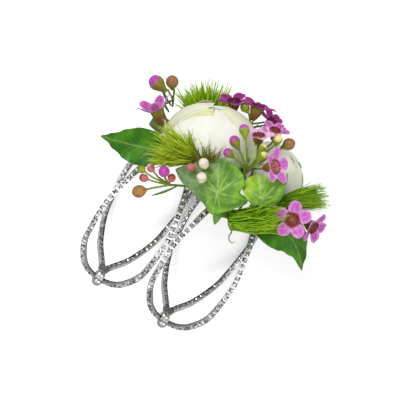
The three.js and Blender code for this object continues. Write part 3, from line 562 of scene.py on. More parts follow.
@dataclass(frozen=True)
class Finish:
    """A finish that is made into a material once."""

    name: str

    def material(self) -> bpy.types.Material:
        """The finish's material, made when it is first asked for.

        Returns:
            The material.
        """
        if self.name not in bpy.data.materials:
            self.paint(NodeTree(bpy.data.materials.new(self.name)))
        return bpy.data.materials[self.name]

    def paint(self, nodes: NodeTree) -> None:
        """Sets up the material's nodes."""
        raise NotImplementedError


@dataclass(frozen=True)
class PlantFinish(Finish):
    """A plant skin: the mesh's tint, mottled, with fine relief and some light passing inside."""

    grain: float = 0.0012
    mottle: float = 0.25
    roughness: float = 0.5
    height: float = 0.00005
    glow: float = 0.0
    gloss: float = 0.0
    shine: float = 0.5
    glow_depth: float = 0.0015
    glow_colour: Shares = (1.0, 0.9, 0.6)
    fine_parts: float = 5
    rough_spread: float = 0.1
    gloss_roughness: float = 0.12

    def paint(self, nodes: NodeTree) -> None:
        """Mottles the tint by coarse noise; fine noise varies the roughness and raises the surface.

        Args:
            nodes: The material's nodes.
        """
        fine = nodes.noise(self.grain / self.fine_parts)
        mottled = (1 - self.mottle, 1 + self.mottle / 2)
        nodes.shaded(nodes.tint(), nodes.ranged(nodes.noise(self.grain), mottled))
        run = (self.roughness - self.rough_spread, self.roughness + self.rough_spread)
        nodes.link(nodes.ranged(fine, run), nodes.shader.inputs["Roughness"])
        nodes.relief(fine, self.height)
        nodes.set(Subsurface_Weight=self.glow, Subsurface_Radius=self.glow_colour)
        nodes.set(Subsurface_Scale=self.glow_depth, Specular_IOR_Level=self.shine)
        nodes.set(Coat_Weight=self.gloss, Coat_Roughness=self.gloss_roughness)


@dataclass(frozen=True)
class MetalFinish(Finish):
    """Bright plated metal with faint clouding and fine wear, in one colour or in the mesh's tint."""

    colour: Shares | None = None
    roughness: float = 0.2
    grain: float = 0.001
    height: float = 0.00001
    cloud: Shares = (0.75, 1.1)
    rough_spread: Shares = (0.08, 0.12)
    wear_parts: float = 4

    def paint(self, nodes: NodeTree) -> None:
        """Clouds the colour and the roughness by coarse noise; fine noise raises the surface.

        Args:
            nodes: The material's nodes.
        """
        cloud = nodes.noise(self.grain)
        base = nodes.flat(self.colour) if self.colour else nodes.tint()
        nodes.shaded(base, nodes.ranged(cloud, self.cloud))
        run = (self.roughness - self.rough_spread[0], self.roughness + self.rough_spread[1])
        nodes.link(nodes.ranged(cloud, run), nodes.shader.inputs["Roughness"])
        nodes.relief(nodes.noise(self.grain / self.wear_parts), self.height)
        nodes.set(Metallic=1.0)


@dataclass(frozen=True)
class CrystalFinish(Finish):
    """Foiled crystal: each facet's tint is a grey that paints its reflection, bright or dark, under a hard
    clear coat.
    """

    roughness: float = 0.06
    foil: float = 0.7
    grain: float = 0.0006
    cloud: Shares = (0.8, 1.15)
    coat_roughness: float = 0.02
    coat_ior: float = 1.6

    def paint(self, nodes: NodeTree) -> None:
        """Clouds the facets' tint by noise.

        Args:
            nodes: The material's nodes.
        """
        nodes.shaded(nodes.tint(), nodes.ranged(nodes.noise(self.grain), self.cloud))
        nodes.set(Metallic=self.foil, Roughness=self.roughness)
        nodes.set(Coat_Weight=1.0, Coat_Roughness=self.coat_roughness, Coat_IOR=self.coat_ior)


@dataclass(frozen=True)
class GlueFinish(Finish):
    """Dried floral glue on felt: dull, lumpy and slightly mottled."""

    colour: Shares = (0.16, 0.19, 0.12)
    grain: float = 0.002
    cloud: Shares = (0.7, 1.2)
    lump_parts: float = 3
    height: float = 0.0002
    roughness: float = 0.75

    def paint(self, nodes: NodeTree) -> None:
        """Clouds the colour by coarse noise; finer noise raises lumps.

        Args:
            nodes: The material's nodes.
        """
        nodes.shaded(nodes.flat(self.colour), nodes.ranged(nodes.noise(self.grain), self.cloud))
        nodes.relief(nodes.noise(self.grain / self.lump_parts), self.height)
        nodes.set(Roughness=self.roughness)


SILVER = MetalFinish("bright_silver", (0.72, 0.71, 0.69), roughness=0.14)
TIP_SILVER = MetalFinish("tip_silver", (0.40, 0.39, 0.38), roughness=0.3)
CHANNEL = MetalFinish("channel_silver", roughness=0.3)
CRYSTAL = CrystalFinish("foiled_crystal")
GLUE = GlueFinish("floral_glue")
CREAM_PETAL = PlantFinish("ranunculus_petal", 0.006, 0.05, 0.55, 0.00002, shine=0.2)
WAX_PETAL = PlantFinish("wax_petal", 0.0012, 0.25, 0.45, 0.00003, glow=0.15, shine=0.3)
WAX_STEM = PlantFinish("wax_stem", 0.0009, 0.3, 0.42, 0.00005, glow=0.05, gloss=0.1, shine=0.35)
SALAL_SKIN = PlantFinish("salal_skin", 0.0022, 0.22, 0.5, 0.00004, gloss=0.06, shine=0.25)
IVY_SKIN = PlantFinish("ivy_skin", 0.0018, 0.32, 0.45, 0.00006, gloss=0.12, shine=0.3)
TUFT_SKIN = PlantFinish("tuft_skin", 0.0015, 0.25, 0.55, 0.00002, glow=0.1, shine=0.2)


def plant(parts: Patchwork, suffix: str, finish: Finish, slot: str, node: str) -> None:
    """Makes a plant piece that rides with the spray and stands for its node."""
    settle(parts.build(f"{node}_{suffix}", finish.material()), Body.SPRAY, slot, node)


@dataclass(frozen=True)
class StrandPath:
    """The middle line of one strand of the cuff: a superellipse seen along the arm, spread by a width
    table into a leaf-shaped loop."""

    side: int
    edge: int
    half: int
    reach: float = 0.0305
    half_height: float = 0.02906
    power: float = 1.81
    mouth_degrees: tuple[float, float] = (20.4, 11.2)
    pitch: float = 0.0288
    half_width: float = 0.0132
    first_width: float = 0.0012
    end_gap: float = 0.0053
    samples: int = 4000
    length_steps: int = 400
    axis_step: float = 0.004
    front_shares: tuple[Shares, ...] = (
        (0, 0), (0.06, 0.36), (0.15, 0.66), (0.3, 0.95), (0.48, 1), (0.66, 0.8), (0.84, 0.54), (1, 0.54),
    )
    back_shares: tuple[Shares, ...] = (
        (0, 0), (0.06, 0.19), (0.15, 0.53), (0.3, 0.88), (0.48, 1), (0.66, 0.935), (0.84, 0.75), (1, 0.51),
    )

    def at(self, shares: Array) -> Array:
        """Places on the line: Y and Z follow a cosine and a sine, each to the power 2 over the
        superellipse's own, and X the width table.

        Args:
            shares: Shares of the way from the mouth to the crown.

        Returns:
            Places from the ring's middle.
        """
        mouth = np.radians(self.mouth_degrees[0 if self.half > 0 else 1])
        angle = mouth + (np.pi - mouth) * shares
        cosine, sine = np.cos(angle), np.sin(angle)
        y = -self.reach * np.sign(cosine) * np.abs(cosine) ** (2 / self.power)
        z = self.half * self.half_height * np.abs(sine) ** (2 / self.power)
        table = self.front_shares if self.half > 0 else self.back_shares
        width = smooth_table(table, shares) * self.half_width
        return np.stack([self.side * self.pitch / 2 + self.edge * width, y, z], axis=-1)

    def line(self, shares: Array) -> Array:
        """Places at shares of the strand's own length, between its cut ends: it starts where the loop is
        wide enough for its plate, and ends short of the crown's middle.

        Args:
            shares: Shares of the length.

        Returns:
            Places from the ring's middle.
        """
        dense = np.linspace(0, 1, self.samples)
        places = self.at(dense)
        width = np.abs(places[:, 0] - self.side * self.pitch / 2)
        rising = (width >= self.first_width) & (dense < 1)
        kept = rising & ((np.abs(places[:, 2]) >= self.end_gap) | (dense < 0.5))
        run = places[kept]
        length = np.concatenate([[0], np.cumsum(np.linalg.norm(np.diff(run, axis=0), axis=1))])
        where = shares * length[-1]
        return np.stack([np.interp(where, length, run[:, i]) for i in range(3)], axis=-1)

    def length(self) -> float:
        """The strand's length."""
        places = self.line(np.linspace(0, 1, self.length_steps))
        return float(np.linalg.norm(np.diff(places, axis=0), axis=1).sum())

    def axes(self, shares: Array) -> tuple[Array, Array, Array]:
        """The strand's own directions.

        Args:
            shares: Shares of its length.

        Returns:
            Directions along the strand, across it, and out from the wrist.
        """
        after, before = (np.clip(shares + step, 0, 1) for step in (self.axis_step, -self.axis_step))
        ahead = unit(self.line(after) - self.line(before))
        out = unit(np.stack([np.zeros_like(shares), -ahead[:, 2], ahead[:, 1]], axis=-1))
        place = self.line(shares)
        out = out * np.where((out[:, 1:] * place[:, 1:]).sum(axis=-1) < 0, -1, 1)[:, None]
        across = unit(np.cross(ahead, out))
        return ahead, across, out


@dataclass
class RhinestoneCuff:
    """The spring cuff: strands of channel with square stones, and a ball and plate at each loop's tip."""

    width: float = 0.0021
    depth: float = 0.0013
    lip: float = 0.00022
    lip_rise: float = 0.00018
    edge_round: float = 0.00025
    stone_pitch: float = 0.00237
    stone_size: float = 0.00172
    stone_rise: float = 0.00058
    stone_gap: float = 0.00004
    back_size: float = 0.00125
    back_rise: float = 0.00018
    girdle_share: float = 0.35
    table_share: float = 0.55
    table_swell: float = 1.05
    steps: int = 260
    ball_radius: float = 0.00205
    lip_grey: float = 0.75
    wall_grey: float = 0.92
    inner_wall_grey: float = 0.07
    inner_wall_side: float = 0.7
    dark_share: float = 0.4
    dark_run: Shares = (0.02, 0.1)
    bright_run: Shares = (0.6, 0.4)
    first_seed: int = 20
    plain_grey: float = 0.7
    ball_rings: int = 17
    ball_sides: int = 24

    def channel(self, path: StrandPath) -> tuple[Array, Array]:
        """The channel: its profile, a flat back with rounded edges and a lip on each side of the
        stones' seat, is carried along the strand's line square to it. The wall that faces the loop's
        inside is near black below the lips.

        Args:
            path: The strand's line.

        Returns:
            The grid, (steps + 2, 10, 3), and its tints.
        """
        w, d, lip, rise, soft = self.width / 2, self.depth / 2, self.lip, self.lip_rise, self.edge_round
        profile = np.array([
            [-w + soft, -d], [w - soft, -d], [w, -d + soft], [w, d + rise], [w - lip, d + rise],
            [w - lip, d], [-w + lip, d], [-w + lip, d + rise], [-w, d + rise], [-w, -d + soft],
        ])
        shares = np.linspace(0, 1, self.steps)
        _, across, out = path.axes(shares)
        place = path.line(shares) + SPRAY.ring
        body = place[:, None] + (profile[:, :1] * across[:, None] + profile[:, 1:] * out[:, None])
        ends = [np.broadcast_to(place[i], body[:1].shape) for i in (0, -1)]
        inward = -path.edge * np.sign(across[:, :1]) * profile[:, 0] / w
        grey = np.where(profile[:, 1] > d, self.lip_grey, self.wall_grey)
        # The side that faces the loop's inside is near black below the lips.
        grey = np.where((inward > self.inner_wall_side) & (profile[:, 1] < d), self.inner_wall_grey, grey)
        tint = ended(np.repeat(grey[..., None], 3, axis=-1), 0)
        return np.concatenate([ends[0], body, ends[1]]), tint

    def stones(self, path: StrandPath, face: int) -> Array:
        """Square stones, one for each pitch of the strand: a square girdle, a crown that slopes in to a
        smaller table of eight sides, and a closed top and bottom.

        Args:
            path: The strand's line.
            face: 1 for the crowns on the outside, -1 for the stones' backs on the wrist side.

        Returns:
            Grids, (stones, 5, 8, 3).
        """
        count = round(path.length() / self.stone_pitch)
        shares = (np.arange(count) + 0.5) / count
        ahead, across, out = path.axes(shares)
        out = out * face
        place = path.line(shares) + SPRAY.ring + out * self.depth / 2
        size = self.stone_size if face > 0 else self.back_size
        stand = self.stone_rise if face > 0 else self.back_rise
        turns = np.arange(8) * np.pi / 4
        square = 1 / np.maximum(np.abs(np.cos(turns)), np.abs(np.sin(turns)))
        rings_at_girdle = 3
        wide, high = np.array([(0, 0), (1, 0), (1, self.girdle_share), (self.table_share, 1), (0, 1)]).T
        swell = np.where(np.arange(len(wide))[:, None] < rings_at_girdle, square, self.table_swell)
        reach = wide[:, None] * swell * size / 2
        along, aside = (reach * np.cos(turns))[..., None], (reach * np.sin(turns))[..., None]
        level = (high * stand + self.stone_gap)[:, None, None]
        place, ahead, across, out = (each[:, None, None] for each in (place, ahead, across, out))
        return place + along * ahead + aside * across + level * out

    def strand(self, name: str, path: StrandPath, seed: int) -> None:
        """Builds one strand's channel and stones; each facet has its own grey, a painted reflection.

        Args:
            name: The CAD node.
            path: The strand's line.
            seed: For the facets.
        """
        body = Body.FRONT if path.half > 0 else Body.SPRAY
        metal = Patchwork()
        metal.add(*self.channel(path))
        settle(metal.build(f"{name}_channel", CHANNEL.material(), smooth=False), body, "silver", name)
        stones = Patchwork()
        for face in (1, -1):
            stones.add(self.stones(path, face), np.full(3, self.plain_grey))
        crystal = stones.build(f"{name}_stones", CRYSTAL.material(), smooth=False)
        self.paint_facet_reflections(crystal, seed)
        settle(crystal, body, "silver")

    def paint_facet_reflections(self, piece: bpy.types.Object, seed: int) -> None:
        """Gives each facet its own grey, a painted reflection: mostly bright, some dark.

        Args:
            piece: The stones.
            seed: For the draw.
        """
        mesh = piece.data
        share, depth = np.random.default_rng(seed).random((2, len(mesh.polygons)))
        dark, bright = (run[0] + run[1] * depth for run in (self.dark_run, self.bright_run))
        # Each facet's grey is its painted reflection.
        grey = np.where(share < self.dark_share, dark, bright)
        mesh.color_attributes.remove(mesh.color_attributes["Tint"])
        totals = np.zeros(len(mesh.polygons), np.int32)
        mesh.polygons.foreach_get("loop_total", totals)
        corners = np.repeat(grey, totals)[:, None]
        colours = np.concatenate([corners, corners, corners, np.ones_like(corners)], axis=1)
        mesh.color_attributes.new("Tint", "FLOAT_COLOR", "CORNER").data.foreach_set("color", colours.ravel())

    def ball(self, node: str, body: Body) -> None:
        """Builds a plain round ball in the middle of its CAD node's box.

        Args:
            node: The CAD node.
            body: The body that it rides on.
        """
        low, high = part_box(node)
        middle = np.array((low + high) / 2)
        parts = Patchwork()
        profile = self.ball_radius * half_circle(self.ball_rings)
        parts.add(revolved(profile, self.ball_sides) + middle, np.full(3, self.plain_grey))
        settle(parts.build(f"{node}_sphere", SILVER.material()), body, "silver", node)

    def build(self) -> None:
        """Builds the strands and balls, and dresses the tips, the crown bar and the pad. Each strand has
        its own seed, made from its half, its loop and its edge."""
        for half, half_name in ((1, "front"), (-1, "back")):
            body = Body.FRONT if half > 0 else Body.SPRAY
            for side, side_name in ((-1, "left"), (1, "right")):
                for edge, edge_name in ((-1, "left"), (1, "right")):
                    name = f"{half_name}_strand_{side_name}_loop_{edge_name}"
                    seed = self.first_seed + 10 * half + 3 * side + edge
                    self.strand(name, StrandPath(side, edge, half), seed)
                self.ball(f"{half_name}_ball_{side_name}", body)
                dress(f"{half_name}_tip_{side_name}", TIP_SILVER.material())
        dress("crown_bar", SILVER.material())
        dress("glue_pad", GLUE.material())


def dress(node: str, material: bpy.types.Material) -> None:
    """Gives a CAD node a material in place of its plain one.

    Args:
        node: The CAD node, which is shown as it is.
        material: The material.
    """
    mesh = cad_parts[node].data
    mesh.materials.clear()
    mesh.materials.append(material)


@dataclass(frozen=True)
class PetalPlan:
    """One petal of a bloom: its turn from the side that faces the camera and its half width, both in
    degrees, its rim's angle from the bloom's axis in degrees, how many whorls it lies in, how far its
    rim flares, its share of painted shade, which also greens it, and how far its rim bows down at its
    edges, in radians."""

    turn: float
    half: float
    rim: float
    inset: float
    flare: float = 0.0
    shade: float = 0.0
    bow: float = 0.42


def petal_spiral(
    count: int, half: float, rims: Shares, insets: Shares, start: float, shade: float, bow: float = 0.18
) -> tuple[PetalPlan, ...]:
    """Petals one behind the other on a spiral, each turned on by the golden angle.

    Args:
        count: Petals in the spiral.
        half: Half width in degrees.
        rims: The first and last rim's angle from the axis in degrees.
        insets: How many whorls the first and the last petal lie in.
        start: The first petal's turn in degrees.
        shade: The petals' share of painted shade, which also greens them.
        bow: How far their rims bow down, in radians.

    Returns:
        The petals' plans.
    """
    way = np.linspace(0, 1, count)
    rim, inset = rims[0] + (rims[1] - rims[0]) * way, insets[0] + (insets[1] - insets[0]) * way
    return tuple(
        PetalPlan(start + GOLDEN_ANGLE * k, half, rim[k], inset[k], 0.0, shade, bow) for k in range(count)
    )


@dataclass
class Ranunculus:
    """A half-open bloom of thin petals on nested egg-shaped shells, round a tight heart."""

    name: str
    place: Shares
    facing: Shares
    radius: float
    depth: float
    front_turn: float
    whorls: tuple[tuple[str, tuple[PetalPlan, ...]], ...]
    heart: tuple[PetalPlan, ...]
    inner_green: float
    radius_step: float = 0.0016
    depth_step: float = 0.0010
    lift: float = 0.00035
    thickness: float = 0.0003
    foot: float = 2.35
    rows: int = 34
    columns: int = 36
    ruffle: float = 1.0
    seed: int = 3
    short: float = 0.0
    short_turn: float = 98.0
    short_width: float = 34.0
    core_back: float = 0.85
    heart_green: float = 0.9
    foot_width: float = 0.35
    widening: float = 1.5
    ruffles: tuple[Shares, Shares] = ((0.025, 3.5), (0.012, 9))
    corner_powers: Shares = (2.6, 0.385)
    bow_gain: float = 1.6
    warp: float = 0.0002
    flare_fade: float = 0.4
    fibre_shade: float = 0.05
    edge_shade: float = 0.35
    foot_light: Shares = (0.35, 1.6)
    core_gap: float = 0.1
    core_rings: int = 16
    core_sides: int = 32

    def petal(self, plan: PetalPlan, order: int) -> tuple[Array, Array]:
        """One petal on the shell of its whorl. Its angle from the axis runs evenly from foot to rim, its
        half width grows as a sine of that run, both are read more closely towards the edges, its rim bows
        down at both edges along a superellipse, 1 - (1 - |s|^p)^(1/p), which rounds its corners, it lifts
        along one edge, and its rim flares by the cube of the run. Where a strand of the cuff passes, the
        petal ends short by a bell curve of the turn, exp(-d^2).

        Args:
            plan: The petal's measures.
            order: The petal's number in its bloom, for its own waves.

        Returns:
            The surface, (rows, columns, 3), and its tints.
        """
        rng = np.random.default_rng(100 * self.seed + order)
        t, s = closer_at_end(self.rows), closer_at_ends(self.columns)
        wave = rng.random(3) * 2 * np.pi
        opened = np.sin(np.pi / 2 * np.minimum(t * self.widening, 1))
        wide = np.radians(plan.half) * (self.foot_width + (1 - self.foot_width) * opened)
        turn = np.radians(self.front_turn + plan.turn) + wide * s
        broad, fine = (size * np.sin(count * s + wave[i]) for i, (size, count) in enumerate(self.ruffles))
        corner = 1 - (1 - np.abs(s) ** self.corner_powers[0]) ** self.corner_powers[1]
        bow = self.bow_gain * plan.bow * corner + self.ruffle * (broad + fine)
        off = wrapped(plan.turn + np.degrees(wide * s) - self.short_turn)
        foot = self.foot - self.short * np.exp(-((off / self.short_width) ** 2))
        tilt = foot + (np.radians(plan.rim) + bow - foot) * t
        swell = self.lift * (s + 1) / 2 + self.warp * np.sin(3 * s + wave[2] + 2 * t) * t**2
        swell = swell + plan.flare * t**3 * (1 - self.flare_fade * s**2)
        reach = (self.radius - plan.inset * self.radius_step + swell) * np.sin(tilt)
        height = (self.depth - plan.inset * self.depth_step + swell) * np.cos(tilt)
        surface = np.stack([reach * np.cos(turn), height + 0 * turn, reach * np.sin(turn)], axis=-1)
        # The tint runs from cream to a greenish grey: painted shade by the petal's share of shade and at its
        # side edges and rim, darker fibre streaks, and greyer towards its foot.
        fibre = self.fibre_shade * np.sin(13 * s + wave[1] + 2 * np.sin(4 * s + wave[0])) * (0.4 + t)
        edge = 0.5 * np.abs(s) ** 6 + 0.5 * t**12
        foot_light = np.clip(self.foot_light[0] + self.foot_light[1] * t, 0, 1)
        pale = np.clip(1 - plan.shade - fibre - self.edge_shade * edge, 0, 1) * foot_light
        return surface, mix(Tint.CREAM_SHADE.linear, Tint.CREAM.linear, pale)

    def layer(
        self, parts: Patchwork, matrix: Array, plans: tuple[PetalPlan, ...], first: int, green: float
    ) -> None:
        """Adds petals as thin shells.

        Args:
            parts: The mesh in the making.
            matrix: The bloom's seat.
            plans: The petals.
            first: The first petal's number in its bloom.
            green: The petals' share of heart green.
        """
        for order, plan in enumerate(plans):
            surface, tint = self.petal(plan, first + order)
            tint = tint * (1 - green) + Tint.HEART_GREEN.linear * green
            parts.add(moved(shell(surface, self.thickness), matrix), both_sides(tint))

    def build(self) -> None:
        """Builds every whorl, then the heart: its petals and a closed core."""
        matrix = seat(SPRAY.spot(self.place), self.facing)
        first = 0
        for whorl, plans in self.whorls:
            parts = Patchwork()
            self.layer(parts, matrix, plans, first, self.inner_green if whorl == "inner_petals" else 0.0)
            first += len(plans)
            plant(parts, "leaves", CREAM_PETAL, "cream_petal", f"{self.name}_{whorl}")
        parts = Patchwork()
        self.layer(parts, matrix, self.heart, first, self.heart_green)
        last = max(plan.inset for plan in self.heart) + self.core_gap
        core = (self.radius - last * self.radius_step, self.depth - last * self.depth_step)
        profile = half_circle(self.core_rings) * np.array(core)
        profile[:, 1] *= np.where(profile[:, 1] < 0, self.core_back, 1)
        parts.add(moved(revolved(profile, self.core_sides), matrix), Tint.HEART_GREEN.linear)
        plant(parts, "leaves", CREAM_PETAL, "bloom_heart", f"{self.name}_heart")


@dataclass
class Calyx:
    """The green ribbed cup under a bloom, on the glue pad."""

    node: str
    place: Shares
    size: float
    radius: float = 0.0044
    height: float = 0.006
    sides: int = 48
    ribs: int = 8
    rib_depth: float = 0.06
    profile_shares: tuple[Shares, ...] = (
        (0, 0), (0.96, 0), (1, 0.08), (0.86, 0.33), (0.6, 0.7), (0.45, 1), (0, 1),
    )

    def build(self) -> None:
        """Builds the cup, ribbed as a cosine of the turn."""
        rows = np.array(self.profile_shares) * self.size * np.array([self.radius, self.height])
        ribs = 1 - self.rib_depth * (0.5 + 0.5 * np.cos(self.ribs * around(self.sides)))
        base = SPRAY.spot(self.place) + np.array([0, SPRAY.pad_gap, 0])
        high = (rows[:, 1] / rows[-1, 1])[:, None]
        tint = mix(Tint.BUD_OLIVE.linear, Tint.BUD_GREEN.linear, high)
        parts = Patchwork()
        parts.add(ribbed(revolved(rows, self.sides), ribs) + base, tint)
        plant(parts, "cup", WAX_STEM, "stem", self.node)


@dataclass(frozen=True)
class BudPlan:
    """Where a bud is, its size as a share of the bud radius, its two colours, and where its cap points
    if it doesn't follow its twig."""

    place: Shares
    size: float
    body: Tint
    cap: Tint
    aim: Shares | None = None


@dataclass
class WaxSprig:
    """A wax flower sprig: a stalk, twigs that swell into buds, and needle leaves."""

    node: str
    bed: Shares
    way: tuple[Shares, ...]
    buds: tuple[BudPlan, ...]
    needles: tuple[Shares, ...] = ()
    slot: str = "sprig"
    stem_radius: float = STEM_RADIUS
    twig_radius: float = TWIG_RADIUS
    bud_radius: float = 0.0017
    needle_width: float = 0.0009
    needle_thickness: float = 0.00022
    needle_side: Shares = (0.2, 0.1, 1.0)
    needle_bow: float = 0.12
    needle_channel: float = 0.25
    blade: Tint = Tint.NEEDLE_GREEN
    bow_share: float = 0.12
    neck_radii: float = 1.5
    inside_radii: float = 0.6
    twig_steps: int = 14
    cap_level: float = 2.05
    cap_fade: float = 0.15
    blush_level: float = 1.2
    blush_share: float = 0.35
    profile_shares: tuple[Shares, ...] = (
        (0.30, 0.00), (0.36, 0.25), (0.55, 0.65), (0.82, 1.10), (0.99, 1.55), (1.00, 1.85), (0.93, 2.15),
        (0.86, 2.22), (0.80, 2.40), (0.60, 2.66), (0.30, 2.80), (0.08, 2.82),
    )
    round_shares: tuple[Shares, ...] = (
        (0.24, 0.42), (0.34, 0.58), (0.60, 0.80), (0.86, 1.12), (0.99, 1.50), (1.00, 1.80), (0.94, 2.12),
        (0.80, 2.40), (0.56, 2.64), (0.28, 2.78), (0.08, 2.82),
    )
    plump: bool = False

    def bud(self, parts: Patchwork, fork: Array, ahead: Array, plan: BudPlan) -> None:
        """Adds one bud: a twig that bows from the fork, then a profile turned about the twig's end, with a
        rim where the cap of petals sits in its cup.

        Args:
            parts: The mesh in the making.
            fork: Where the twig leaves the stalk.
            ahead: The stalk's direction at the fork.
            plan: The bud's measures.
        """
        place = SPRAY.spot(plan.place)
        radius = plan.size * self.bud_radius
        distance = np.linalg.norm(place - fork)
        knee = (fork + place) / 2 + ahead * self.bow_share * distance
        facing = unit(place - knee) if plan.aim is None else unit(np.array(plan.aim))
        neck = place - self.neck_radii * radius * facing
        inside = neck + facing * radius * self.inside_radii
        line = curve_through(np.stack([fork, (fork + knee * 2) / 3, knee, inside]), self.twig_steps)
        along = np.linspace(0, 1, self.twig_steps)[:, None, None]
        twig_tint = Tint.STEM_GREEN.linear * (1 - along**6) + plan.body.linear * along**6
        parts.add(tube(line, self.twig_radius, 8), ended(twig_tint, 0))
        profile = np.array(self.round_shares if self.plump else self.profile_shares) * radius
        profile = np.concatenate([[[0, profile[0, 1]]], profile, [[0, profile[-1, 1]]]])
        bud = moved(revolved(profile, 16), seat(neck, tuple(facing)))
        high = profile[:, 1] / radius
        cap = np.clip((high - self.cap_level) / self.cap_fade, 0, 1)
        reddened = self.blush_share * np.clip(high - self.blush_level, 0, 1)
        blush = mix(plan.body.linear, Tint.STEM_RED.linear, reddened)
        tint = blush * (1 - cap[:, None]) + plan.cap.linear * cap[:, None]
        parts.add(bud, tint[:, None])

    def needle(self, parts: Patchwork, ends: Shares) -> None:
        """Adds a needle leaf: a narrow pointed blade that bows as a sine of the way along and is
        channelled by the square of the way across.

        Args:
            parts: The mesh in the making.
            ends: Shares of its root and its tip.
        """
        base, tip = SPRAY.spot(ends[:3]), SPRAY.spot(ends[3:])
        run = tip - base
        across = unit(np.cross(run, np.array(self.needle_side)))
        u = np.linspace(0, 1, 14)[:, None, None]
        v = np.linspace(-1, 1, 5)[:, None]
        wide = self.needle_width * np.sin(np.pi * (0.08 + 0.9 * u)) ** 0.6 / 2
        arch = self.needle_bow * np.linalg.norm(run) * np.sin(np.pi * u)
        bow = np.array([0, 0, 1]) * (arch + self.needle_channel * wide * v**2)
        surface = base + run * u + across * wide * v + bow
        parts.add(shell(surface, self.needle_thickness), self.blade.linear)

    def build(self) -> None:
        """Builds the sprig as one piece."""
        parts = Patchwork()
        way = SPRAY.stalk(self.bed, self.way, self.stem_radius)
        fork = way[-1]
        ahead = unit(fork - way[-2])
        parts.stem(way, self.stem_radius, 40, 10)
        for plan in self.buds:
            self.bud(parts, fork, ahead, plan)
        for ends in self.needles:
            self.needle(parts, ends)
        plant(parts, "twigs", WAX_STEM, self.slot, self.node)


